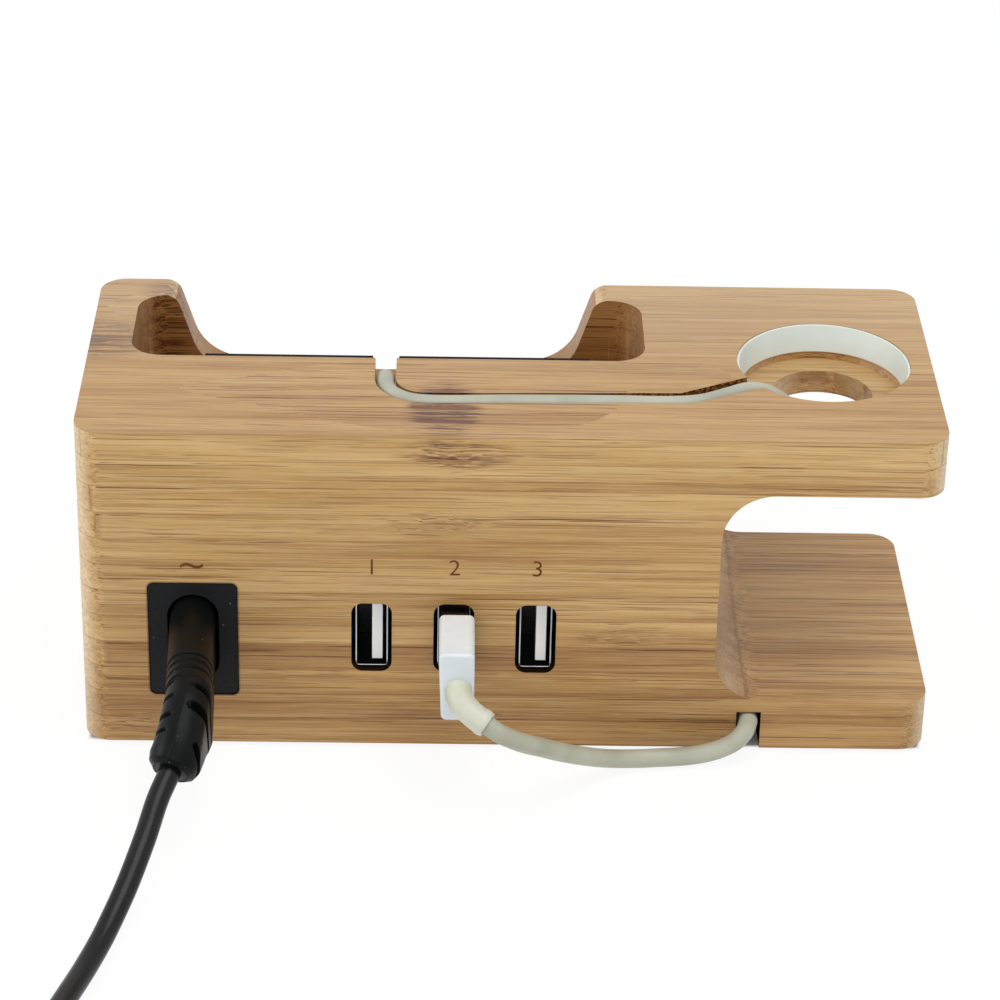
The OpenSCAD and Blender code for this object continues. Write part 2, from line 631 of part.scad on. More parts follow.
// Parts on the board, each standing on its top face
core_x = board_x0 + 6;
core_y = cavity_y + 11.6;
module transformer_core() {
    color([0.2, 0.2, 0.22]) difference() {
        box([core_x - 4.6, core_y - 6.5, board_top + 1.6], [core_x + 4.6, core_y + 6.5, board_top + 14]);
        for (s = [-1, 1]) box([core_x - 5, core_y + s * 3.5 - 1.5, board_top + 3],
            [core_x + 5, core_y + s * 3.5 + 1.5, board_top + 12]);
    }
}
module transformer_winding() {
    color([0.85, 0.75, 0.2]) {
        difference() {
            box([core_x - 5.6, core_y - 4.9, board_top + 3.1],
                [core_x + 5.6, core_y + 4.9, board_top + 11.9]);
            box([core_x - 4.7, core_y - 2.1, board_top], [core_x + 4.7, core_y + 2.1, board_top + 14]);
        }
        for (s = [-1, 1]) box([core_x + s * 5.2 - 0.4, core_y - 4, board_top],
            [core_x + s * 5.2 + 0.4, core_y + 4, board_top + 3.1]);
    }
}
module can(x, y, r, h) {
    translate([x, y, board_top]) cylinder(h = h, r = r);
}
module bulk_capacitor() {
    color([0.12, 0.14, 0.3]) can(board_x1 - 5.3, board_y1 - 5.2, 5, 16);
}
module output_capacitors() {
    color([0.15, 0.3, 0.2]) for (x = [port_x - 10.9, port_x + 7.1]) can(x, board_y0 + 2.7, 2.5, 11);
}
module input_fuse() {
    color([0.85, 0.8, 0.7]) rod([board_x1 - 16, board_y0 + 2.2, board_top + 1.8],
        [board_x1 - 7.5, board_y0 + 2.2, board_top + 1.8], 1.8);
}
module input_choke() {
    color([0.25, 0.25, 0.25]) can(core_x + 9.5, board_y1 - 3, 2.6, 8);
}
module bridge_rectifier() {
    color([0.15, 0.15, 0.15]) box([board_x1 - 22.2, board_y0 + 0.6, board_top],
        [board_x1 - 17.5, board_y0 + 4.6, board_top + 2.6]);
}
module controller_chip() {
    color([0.12, 0.12, 0.12]) box([port_x - 4.4, board_y0 + 1, board_top],
        [port_x + 0.5, board_y0 + 4.9, board_top + 1.6]);
}
module output_diode() {
    color([0.1, 0.1, 0.1]) rod([core_x + 7.1, board_y0 + 2.4, board_top + 1.6],
        [core_x + 14.7, board_y0 + 2.4, board_top + 1.6], 1.6);
}
module safety_capacitor() {
    color([0.2, 0.45, 0.7]) rod([board_x1 - 14.3, board_y1 - 5.4, board_top + 3.5],
        [board_x1 - 14.3, board_y1 - 2.4, board_top + 3.5], 3.5);
}

// Plug of the mains lead, pushed into the inlet
module mains_plug_body() {
    grip_at = [16.4, 18.6, 20.8, 23];
    color(dark_plastic) difference() {
        across(plug_tip, plug_end) translate([inlet_x, inlet_z]) oblong(plug_r, pin_pitch);
        for (g = grip_at) difference() {
            across(back_y + g, back_y + g + 0.7)
                translate([inlet_x, inlet_z]) oblong(plug_r + cut, pin_pitch);
            across(back_y + g - cut, back_y + g + 0.7 + cut)
                translate([inlet_x, inlet_z]) oblong(plug_r - 0.5, pin_pitch);
        }
        for (s = [-1, 1]) rod([inlet_x, plug_tip - cut, inlet_z + s * pin_pitch / 2],
            [inlet_x, plug_tip + 12, inlet_z + s * pin_pitch / 2], contact_r);
    }
}
module mains_plug_contacts() {
    color(gold) for (s = [-1, 1]) difference() {
        rod([inlet_x, plug_tip + 0.5, inlet_z + s * pin_pitch / 2],
            [inlet_x, plug_tip + 12, inlet_z + s * pin_pitch / 2], contact_r);
        rod([inlet_x, plug_tip - cut, inlet_z + s * pin_pitch / 2],
            [inlet_x, plug_tip + 10.5, inlet_z + s * pin_pitch / 2], socket_r);
    }
}
module mains_strain_relief() {
    color(dark_plastic) swept(relief_route, relief_size, 16, [0, 1, 0]);
}
module mains_cord_run() {
    color([0.17, 0.17, 0.17]) tube(mains_route, mains_d / 2, 8,
        unit(relief_route[4] - relief_route[3]), [0, 1, 0]);
}
// Coil: one tube that winds in on the lower layer, climbs in half a turn and winds out on the upper
coil_inner = coil_r - coil_pitch * (coil_turns / 2 - 0.25);
function coil_radius(t) = t < coil_turns / 2 - 0.25 ? coil_r - coil_pitch * t
    : t < coil_turns / 2 + 0.25 ? coil_inner : coil_inner + coil_pitch * (t - coil_turns / 2 - 0.25);
function coil_height(t) = coil_low + coil_pitch * max(0, min(1, (t - coil_turns / 2 + 0.25) * 2));
function coil_point(t) = [coil_centre.x + coil_radius(t) * cos(360 * t),
    coil_centre.y + coil_radius(t) * sin(360 * t), coil_height(t)];
coil_ends = [coil_point(0), coil_point(coil_turns)];
coil_route = concat([coil_start],
    [for (k = [0:coil_turns * coil_steps]) coil_point(k / coil_steps)], [coil_ends[1] - [coil_tail, 0, 0]]);
far_points = [for (i = [0:len(coil_route) - 1]) for (j = [i + 14:1:len(coil_route) - 1])
    norm(coil_route[i] - coil_route[j])];
echo(least_gap_of_coil_mm = min(far_points) - mains_d);
module mains_cord_coil() {
    color([0.17, 0.17, 0.17]) tube(coil_route, mains_d / 2, 6, [0, 1, 0], [-1, 0, 0]);
}
// Strap round all the turns of the coil, on the side away from the cord's two ends
tie_w = 9;
tie_t = 0.5;
tie_fit = 0.15;
module cord_tie() {
    r = mains_d / 2 + tie_fit;
    x_out = coil_centre.x - coil_r - r;
    x_in = coil_centre.x - coil_inner + r + 0.7;
    low = coil_low - r;
    high = coil_low + coil_pitch + r;
    color([0.1, 0.1, 0.1]) difference() {
        box([x_out - tie_t, coil_centre.y - tie_w / 2, low - tie_t],
            [x_in + tie_t, coil_centre.y + tie_w / 2, high + tie_t]);
        box([x_out, coil_centre.y - tie_w, low], [x_in, coil_centre.y + tie_w, high]);
    }
}
// Two-blade plug at the far end, lying on the table beside the coil
wall_plug_at = coil_ends[1] - [coil_tail, 0, 0];
wall_relief_len = 16;
wall_plug_len = 22;
blade_len = 17.5;
blade_root = 6;
blade_w = 6.3;
blade_t = 1.5;
blade_pitch = 12.7;
module wall_plug_body() {
    color(dark_plastic) difference() {
        translate(wall_plug_at) rotate([0, -90, 0]) {
            cylinder(h = wall_relief_len, r1 = mains_d / 2 + 1.2, r2 = mains_d / 2 + 2.6);
            translate([0, 0, wall_relief_len]) linear_extrude(wall_plug_len)
                rounded_plate(2 * wall_plug_at.z - 0.2, 21, 4);
        }
        for (s = [-1, 1]) wall_blade(s);
    }
}
module wall_blade(s) {
    x = wall_plug_at.x - wall_relief_len - wall_plug_len;
    y = wall_plug_at.y + s * blade_pitch / 2;
    box([x - blade_len, y - blade_t / 2, wall_plug_at.z - blade_w / 2],
        [x + blade_root, y + blade_t / 2, wall_plug_at.z + blade_w / 2]);
}
module wall_plug_blades() {
    color(gold) for (s = [-1, 1]) wall_blade(s);
}

// Plug of the watch lead, in the middle port
module watch_plug_shell() {
    color(steel) difference() {
        across(grip_face - plug_shell_len, grip_face)
            translate([port_centre(2), port_z]) square([plug_shell_w, plug_shell_h], center = true);
        across(grip_face - plug_shell_len - cut, grip_face + cut) translate([port_centre(2), port_z])
            square([plug_shell_w - 2 * shell_t, plug_shell_h - 2 * shell_t], center = true);
    }
}
plug_gap = plug_shell_w / 2 - shell_t;
module plug_strips() {
    x = port_centre(2);
    for (z = pin_rows) box([x, grip_face - plug_shell_len + 1.5, port_z + z - 0.5],
        [x + contact_t, grip_face - 2, port_z + z + 0.5]);
}
module watch_plug_insulator() {
    x = port_centre(2);
    color(white_plastic) difference() {
        box([x, grip_face - plug_shell_len + 0.3, port_z - plug_shell_h / 2 + shell_t],
            [x + plug_gap, grip_face, port_z + plug_shell_h / 2 - shell_t]);
        plug_strips();
    }
}
module watch_plug_contacts() {
    color(gold) plug_strips();
}
module watch_plug_grip() {
    color(white_plastic) across(grip_face, grip_face + grip_len)
        translate([port_centre(2) - 0.5, port_z]) rounded_plate(grip_w, grip_h, 1);
}
module watch_plug_sleeve() {
    color(cream) tube(sleeve_route, 2.3, 12, [0, 1, 0], unit(free_route[1] - free_route[0]));
}
module watch_cord_free() {
    color(cream) tube(free_route, lead_d / 2, 8, unit(free_route[1] - free_route[0]), [0, -1, 0]);
}
module watch_cord_held() {
    color(cream) tube(held_route, lead_d / 2, 10, [0, -1, 0], boss_way);
}

bamboo_body();
base_cover();
base_screws();
rubber_feet();
phone_pad_left();
phone_pad_right();
watch_sleeve();
inlet_housing();
inlet_pins();
live_wire();
neutral_wire();
charger_board();
board_screws();
usb_shell_1();
usb_shell_2();
usb_shell_3();
usb_tongue_1();
usb_tongue_2();
usb_tongue_3();
usb_contacts_1();
usb_contacts_2();
usb_contacts_3();
transformer_core();
transformer_winding();
bulk_capacitor();
output_capacitors();
input_fuse();
input_choke();
bridge_rectifier();
controller_chip();
output_diode();
safety_capacitor();
mains_plug_body();
mains_plug_contacts();
mains_strain_relief();
mains_cord_run();
mains_cord_coil();
cord_tie();
wall_plug_body();
wall_plug_blades();
watch_plug_shell();
watch_plug_insulator();
watch_plug_contacts();
watch_plug_grip();
watch_plug_sleeve();
watch_cord_free();
watch_cord_held();
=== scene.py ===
# %% [markdown]
# # A bamboo charging stand, dressed in Blender
#
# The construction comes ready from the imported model: every piece, at its real size, on the body that it
# moves with. This file gives each piece its finish, adds the detail that a milled block, a moulded plug
# or a soft cord shows up close, and lights it for one photograph. Every cell prints what it made.
# All lengths are metres in the model's own frame, and MM turns millimetres into them.

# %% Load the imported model
import math

import bmesh
import bpy
import numpy as np
from mathutils import Matrix, Vector


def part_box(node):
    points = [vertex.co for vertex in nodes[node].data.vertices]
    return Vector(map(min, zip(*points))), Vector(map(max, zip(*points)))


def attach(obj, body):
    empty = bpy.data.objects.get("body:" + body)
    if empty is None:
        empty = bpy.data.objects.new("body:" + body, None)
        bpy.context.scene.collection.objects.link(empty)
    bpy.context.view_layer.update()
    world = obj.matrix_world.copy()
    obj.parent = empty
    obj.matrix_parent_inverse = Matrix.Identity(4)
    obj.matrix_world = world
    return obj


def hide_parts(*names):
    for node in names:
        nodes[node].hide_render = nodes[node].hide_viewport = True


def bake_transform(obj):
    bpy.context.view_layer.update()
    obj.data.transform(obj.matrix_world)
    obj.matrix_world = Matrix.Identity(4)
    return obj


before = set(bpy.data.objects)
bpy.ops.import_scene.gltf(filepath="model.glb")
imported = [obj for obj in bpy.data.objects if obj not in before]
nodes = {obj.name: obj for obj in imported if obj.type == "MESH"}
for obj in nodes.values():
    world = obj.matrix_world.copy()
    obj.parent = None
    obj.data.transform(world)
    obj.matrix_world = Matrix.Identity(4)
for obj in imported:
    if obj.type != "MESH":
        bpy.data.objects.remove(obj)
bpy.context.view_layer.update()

MM = 0.001

# %% [markdown]
# ## Camera
# A camera is fitted, not guessed. The block's straight edges and the ports give the place and the turn of
# the lens that took the picture: it stood half a metre behind the stand, a third of a metre up, and looked
# down by about 29 degrees through a long lens. A long lens keeps the block's sides almost parallel.

# %% Place the camera
FOCAL_PIXELS = 3503.8
pitch, yaw, roll = (math.radians(a) for a in (28.822, 1.174, 1.313))
look = Vector((-math.sin(yaw) * math.cos(pitch), -math.cos(yaw) * math.cos(pitch), -math.sin(pitch)))
level = Vector((-math.cos(yaw), math.sin(yaw), 0))
above = level.cross(look)
right = math.cos(roll) * level + math.sin(roll) * above
up = -math.sin(roll) * level + math.cos(roll) * above

camera_data = bpy.data.cameras.new("photo_camera")
camera_data.sensor_width = 36
camera_data.lens = FOCAL_PIXELS * 36 / 1000
camera_data.clip_start, camera_data.clip_end = 0.01, 20
camera = bpy.data.objects.new("photo_camera", camera_data)
camera.matrix_world = Matrix.Translation(Vector((12.57, 550.09, 336.06)) * MM) @ Matrix(
    (right, up, -look)).transposed().to_4x4()
bpy.context.scene.collection.objects.link(camera)
bpy.context.scene.camera = camera
print("lens:", round(camera_data.lens, 1), "mm")

# %% [markdown]
# ## Helpers for colour and nodes
# Paint and plastic are given as sRGB hex values, but a shader works in linear light. One function
# turns the first into the second. Another adds a node, with its settings and what feeds it, so that each
# material below reads as a short recipe.


# %% Colour and node helpers
def rgb(code):
    """Linear colour of an sRGB hex value, with alpha 1."""
    parts = [int(code[i:i + 2], 16) / 255 for i in (1, 3, 5)]
    return [c / 12.92 if c <= 0.04045 else ((c + 0.055) / 1.055) ** 2.4 for c in parts] + [1.0]


def add(tree, kind, settings=None, **inputs):
    """Adds a node. An input is named with underscores for spaces, or by number as _0, and takes a value or a
    socket."""
    made = tree.nodes.new(kind)
    for name, value in (settings or {}).items():
        setattr(made, name, value)
    for name, value in inputs.items():
        socket = made.inputs[int(name[1:])] if name[1:].isdigit() else made.inputs[name.replace("_", " ")]
        if isinstance(value, bpy.types.NodeSocket):
            tree.links.new(value, socket)
        else:
            socket.default_value = value
    return made


def ramp(tree, factor, *stops):
    """A colour ramp through (place, hex) stops."""
    made = add(tree, "ShaderNodeValToRGB", Fac=factor)
    while len(made.color_ramp.elements) < len(stops):
        made.color_ramp.elements.new(0.5)
    for element, (place, code) in zip(made.color_ramp.elements, stops):
        element.position, element.color = place, rgb(code)
    return made.outputs["Color"]


def calc(tree, operation, *values):
    """A math node on numbers and sockets."""
    return add(tree, "ShaderNodeMath", {"operation": operation},
               **{f"_{i}": v for i, v in enumerate(values)}).outputs[0]


def step(tree, value, low, high, top=1.0):
    """0 below low, top above high, and a soft rise between; low may be the larger."""
    return add(tree, "ShaderNodeMapRange", {"interpolation_type": "SMOOTHSTEP"}, Value=value, From_Min=low,
               From_Max=high, To_Max=top).outputs[0]


def mixed_in(tree, colour, amount, code, how="MIX"):
    """A hex colour mixed into a colour, or multiplied with it, as far as amount says."""
    return add(tree, "ShaderNodeMix", {"data_type": "RGBA", "blend_type": how}, _0=amount, _6=colour,
               _7=rgb(code)).outputs[2]


def drawn_out(tree, place, scale):
    """Coordinates scaled by a different number along each axis."""
    return add(tree, "ShaderNodeMapping", Vector=place, Scale=scale).outputs[0]


def blank(name):
    """A new material: itself, its tree, its shader and its own coordinates in millimetres."""
    material = bpy.data.materials.new(name)
    material.use_nodes = True
    tree = material.node_tree
    place = add(tree, "ShaderNodeTexCoord").outputs["Object"]
    in_mm = add(tree, "ShaderNodeVectorMath", {"operation": "SCALE"}, _0=place, Scale=1 / MM)
    return material, tree, tree.nodes["Principled BSDF"], in_mm.outputs[0]


print("a mid grey becomes", [round(c, 3) for c in rgb("#808080")])

# %% [markdown]
# ## Cords first
# Two cords belong to the stand. The mains cord is black, 3.8 mm thick, and leaves the picture at its lower
# edge, so the rest of its metre is wound in a neat flat coil just outside the view. The watch cord is
# cream, 3.3 mm thick, and is seen from its plug to the notch in the base, and again along the top.
# Both are swept tubes, because a tube can carry its own length and round coordinates for the finish. The
# routes are those of the construction, smoothed by a curve that passes through every point.


# %% A curve through points, and a tube along it
def smooth_path(points, per_span):
    """A centripetal curve in metres through every point in millimetres, with per_span steps between two."""
    p = [Vector(q) * MM for q in points]
    p = [2 * p[0] - p[1]] + p + [2 * p[-1] - p[-2]]
    path = []
    for a, b, c, d in zip(p, p[1:], p[2:], p[3:]):
        t = [0.0]
        for q, r in ((a, b), (b, c), (c, d)):
            t.append(t[-1] + max((r - q).length, 1e-9) ** 0.5)
        for k in range(per_span):
            u = t[1] + (t[2] - t[1]) * k / per_span
            ab, bc, cd = (q.lerp(r, (u - s) / (e - s)) for q, r, s, e in (
                (a, b, t[0], t[1]), (b, c, t[1], t[2]), (c, d, t[2], t[3])))
            abc, bcd = ab.lerp(bc, (u - t[0]) / (t[2] - t[0])), bc.lerp(cd, (u - t[1]) / (t[3] - t[1]))
            path.append(abc.lerp(bcd, (u - t[1]) / (t[2] - t[1])))
    return path + [p[-2]]


def length_of(path):
    return sum((b - a).length for a, b in zip(path, path[1:]))


def piece_from(name, shape, sharp=40):
    """A bmesh made into an object at the origin, smooth except over edges sharper than the angle."""
    bmesh.ops.recalc_face_normals(shape, faces=shape.faces)
    mesh = bpy.data.meshes.new(name)
    shape.to_mesh(mesh)
    shape.free()
    mesh.shade_smooth()
    mesh.set_sharp_from_angle(angle=math.radians(sharp))
    piece = bpy.data.objects.new(name, mesh)
    bpy.context.scene.collection.objects.link(piece)
    return piece


def outline_point(angle, half_w, half_h):
    """Point of an upright stadium's outline, or a circle's, at an angle from its middle, and the way out."""
    c, s, half = math.cos(angle), math.sin(angle), max(0.0, half_h - half_w)
    if abs(s) * half_w <= half * abs(c):
        return Vector((math.copysign(half_w, c), half_w * s / abs(c))), Vector((math.copysign(1, c), 0))
    k = abs(s) * half + math.sqrt(max(0.0, half_w ** 2 - (half * c) ** 2))
    point = Vector((k * c, k * s))
    return point, (point - Vector((0, math.copysign(half, s)))).normalized()


def swept(name, path, size, sides, start=None, end=None, dent=None, hollow=None, sharp=40):
    """A closed mesh swept along path. size(s) gives half its width and height in mm at s mm along, dent(s,
    angle) how far a point is pressed in, and hollow the radius and depth of a hole in its end. The UV map
    holds the turn round it and the length along it."""
    shape = bmesh.new()
    uv = shape.loops.layers.uv.new("UVMap")
    s, rings, sideways = 0.0, [], Vector((1, 0, 0))
    for i, point in enumerate(path):
        heading = (path[min(i + 1, len(path) - 1)] - path[max(i - 1, 0)]).normalized()
        heading = Vector(start) if i == 0 and start else Vector(end) if i == len(path) - 1 and end else heading
        s += (point - path[i - 1]).length / MM if i else 0.0
        sideways = (sideways - sideways.dot(heading) * heading).normalized()
        upward = sideways.cross(heading)
        wanted = [(0.0, size(s))]
        if hollow and i == len(path) - 1:
            wanted += [(0.0, (hollow[0], hollow[0])), (-hollow[1], (hollow[0], hollow[0]))]
        for shift, (half_w, half_h) in wanted:
            ring = []
            for k in range(sides):
                angle = 2 * math.pi * k / sides
                out, way = outline_point(angle, half_w, half_h)
                if dent:
                    out -= way * dent(s, math.degrees(angle))
                ring.append(shape.verts.new(point + (out.x * sideways + out.y * upward + shift * heading) * MM))
            rings.append((s, ring))
    for (s0, a), (s1, b) in zip(rings, rings[1:]):
        for k in range(sides):
            j = (k + 1) % sides
            face = shape.faces.new((a[k], a[j], b[j], b[k]))
            for loop, (turn, along) in zip(face.loops, ((k, s0), (k + 1, s0), (k + 1, s1), (k, s1))):
                loop[uv].uv = (turn / sides, along)
    shape.faces.new(reversed(rings[0][1]))
    shape.faces.new(rings[-1][1])
    return piece_from(name, shape, sharp)


print("sweeps are ready")

# %% [markdown]
# ## Mains cord: run and coil
# The run is drawn and lies on the table. The coil is worked out: it winds in on the lower layer,
# climbs in half a turn at its inner edge and winds out again on top, as a cord does when it is put away.

# %% Mains cord
RUN = [(55.9, 66.8, 18.2), (57.6, 70.6, 15.6), (59.2, 76.6, 12.4), (60.6, 80.8, 9.8), (62, 84.6, 7.4),
       (63.6, 88.6, 5.2), (65.3, 93.2, 3.4), (67.5, 99.6, 2.2), (69.8, 107, 2), (71.9, 114, 2),
       (73.6, 122, 2.2), (74.8, 131, 2.5), (75.4, 140, 2.6), (75.5, 147.2, 2.6)]
MAINS_D = 3.8
COIL_AT, COIL_R, COIL_TURNS, COIL_PITCH, COIL_LOW, COIL_TAIL = (45.5, 151), 30, 6.25, 4.8, 2.6, 8
COIL_INNER = COIL_R - COIL_PITCH * (COIL_TURNS / 2 - 0.25)


def coil_point(t):
    inward, outward = COIL_TURNS / 2 - 0.25, COIL_TURNS / 2 + 0.25
    r = COIL_R - COIL_PITCH * t if t < inward else COIL_INNER + COIL_PITCH * max(0, t - outward)
    z = COIL_LOW + COIL_PITCH * max(0, min(1, (t - inward) * 2))
    turn = 2 * math.pi * t
    return Vector((COIL_AT[0] + r * math.cos(turn), COIL_AT[1] + r * math.sin(turn), z)) * MM


coil_path = [coil_point(k / 48) for k in range(1, int(COIL_TURNS * 48) + 1)]
mains_path = smooth_path(RUN, 6) + coil_path + [coil_path[-1] - Vector((COIL_TAIL * MM, 0, 0))]
tail_way = Vector((55.9 - 55, 66.8 - 64.2, 18.2 - 19.8)).normalized()
mains_cord = swept("mains_cord", mains_path, lambda s: (MAINS_D / 2, MAINS_D / 2), 20, start=tail_way,
                   end=(-1, 0, 0))
print("mains cord:", round(length_of(mains_path), 4), "m,", len(mains_path), "points")

# %% [markdown]
# ## Watch cord
# The loop on the table crosses from the stand to the plug, and the plug can slide. The other stretch is
# held by the stand all the way: up the slot in the backrest, along the groove in the top and into the
# watch well.


# %% Watch cord, free and held
def arc(x, y, z, r, *angles):
    return [(x + r * math.cos(math.radians(a)), y + r * math.sin(math.radians(a)), z) for a in angles]


WATCH_D = 3.3
FREE = [(3.6, 52.6, 19), (1.5, 53.6, 18), (-0.4, 53.4, 16.9), (-2.4, 52.2, 15.3), (-5.6, 49.6, 12.8),
        (-9.2, 46.4, 9.8), (-12.8, 42.8, 6.8), (-16.4, 39.6, 4.3), (-19.9, 37.6, 2.9), (-23.4, 36.3, 2.15),
        (-27, 35.55, 1.9), (-30.6, 35.2, 1.95), (-34.2, 35, 2.4), (-37.6, 34.6, 3.3), (-40.2, 33.8, 4.4),
        (-41.8, 32.4, 5.5), (-42.55, 30.25, 6.2)]
HELD = [(-42.55, 30.25, 6.2), (-42.55, 24.25, 6.2), (-42.55, 14.25, 6.2), (-42.55, 4.6, 6.2),
        *arc(-31.55, 4.5, 6.2, 11, 202.5, 225, 247.5),
        (-31.55, -6.5, 6.2), (-16, -6.5, 6.2), (0, -6.5, 6.2), (13, -6.5, 6.2), (16.2, -6.5, 6.2),
        (18.6, -6.3, 7), (20.6, -5.8, 9.2), (21.6, -4.8, 12.4), (21.8, -3, 16.5), (21.8, -0.6, 21.5),
        (21.8, 2, 27.5), (21.8, 3.6, 34), (21.8, 4, 41), (21.8, 3.8, 50), (21.8, 3.6, 55.4), (21.8, 3.9, 58),
        (21.8, 4.9, 59.8), (21.8, 7, 60.5), (21.6, 9.8, 60.55), *arc(14.5, 8.4, 60.55, 7.3, 35, 60, 87),
        (0, 15.28, 60.55), (-16, 14.88, 60.5), (-29, 14.5, 60.35), (-33, 13.5, 60.3), (-37.4, 11, 60.3),
        (-41.3, 8.8, 60.3), (-44.3, 8.1, 59.6), (-46.4, 8.7, 58.7), (-48.3, 9.8, 57.8), (-49.6, 11, 57.4)]
free_path = smooth_path(reversed(FREE), 5)
held_path = smooth_path(HELD, 6)
plug_way = (Vector(FREE[0]) - Vector(FREE[1])).normalized()
watch_size = lambda s: (WATCH_D / 2, WATCH_D / 2)
watch_cord_loop = swept("watch_cord_loop", free_path, watch_size, 20, start=(0, 1, 0), end=plug_way)
watch_cord_inside = swept("watch_cord_inside", held_path, watch_size, 20, start=(0, -1, 0))
print("watch cord: loop", round(length_of(free_path), 4), "m, held", round(length_of(held_path), 4), "m")

# %% [markdown]
# ## Bamboo
# The block is laminated bamboo: strips about 5 mm thick and 21 mm wide, planed flat, pressed and glued in
# layers, then milled and wiped with a clear satin oil. A strip is a bundle of long fibres that all run
# along X. On the faces along the grain a fibre shows as a thin brown dash, and on the ends, where it is
# cut across, as a brown dot in a faint ring. So the pattern is one solid, drawn out along X: slow noise for
# the tone, two sets of long cells for the fibres, and fine noise for the pores. Where a culm had a joint,
# its fibres wander and darken to plum brown in that one strip. Walls cut by a milling cutter are a little
# darker than the planed faces, and the block carries an attribute that says where. Light and shade are
# painted in too: a paler sheen on the far half of the top, darker towards the foot, a dark rim round the
# holes in the ports' face and near black inside the sockets.

# %% Where the culm's joints lie
PLY, STRIP = 5.08, 21.0
# Centre in mm, half sizes in mm, darkness, and how far the fibres wander there in mm
JOINTS = [((11.5, 20, 62), (6, 9.5, 4.5), 2.2, 0.1), ((73, -5, 61), (9, 8.5, 5), 1.3, 0.2),
          ((62, -25, 57), (5, 5, 12), 0.8, 0.0), ((-19, 30.3, 23.5), (9, 6, 2.2), 0.35, 0.3),
          ((12.5, 30.3, 45), (9, 7, 2.6), 0.3, 0.3), ((9, 30.3, 58.5), (10, 4, 3), 0.8, 0.25),
          ((66, 29, 4.5), (8, 6, 2.6), 0.35, 0.3), ((-28, -29, 42), (8, 8, 3), 0.4, 0.3),
          ((34, -29, 19), (8, 7, 3), 0.4, 0.3), ((-70, 8, 28), (7, 8, 3), 0.4, 0.4),
          ((-52, -29, 5), (8, 7, 3), 0.4, 0.3)]
# Middle, half sizes and corner radius in mm of the holes cut in the ports' face
HOLES = [(54.4, 21.7, 7.75, 11.25, 1.2)] + [(x, 22.5, 2.85, 6.55, 1.3) for x in (23.6, 9.4, -4.8)]
print("joints:", len(JOINTS), " holes:", len(HOLES))


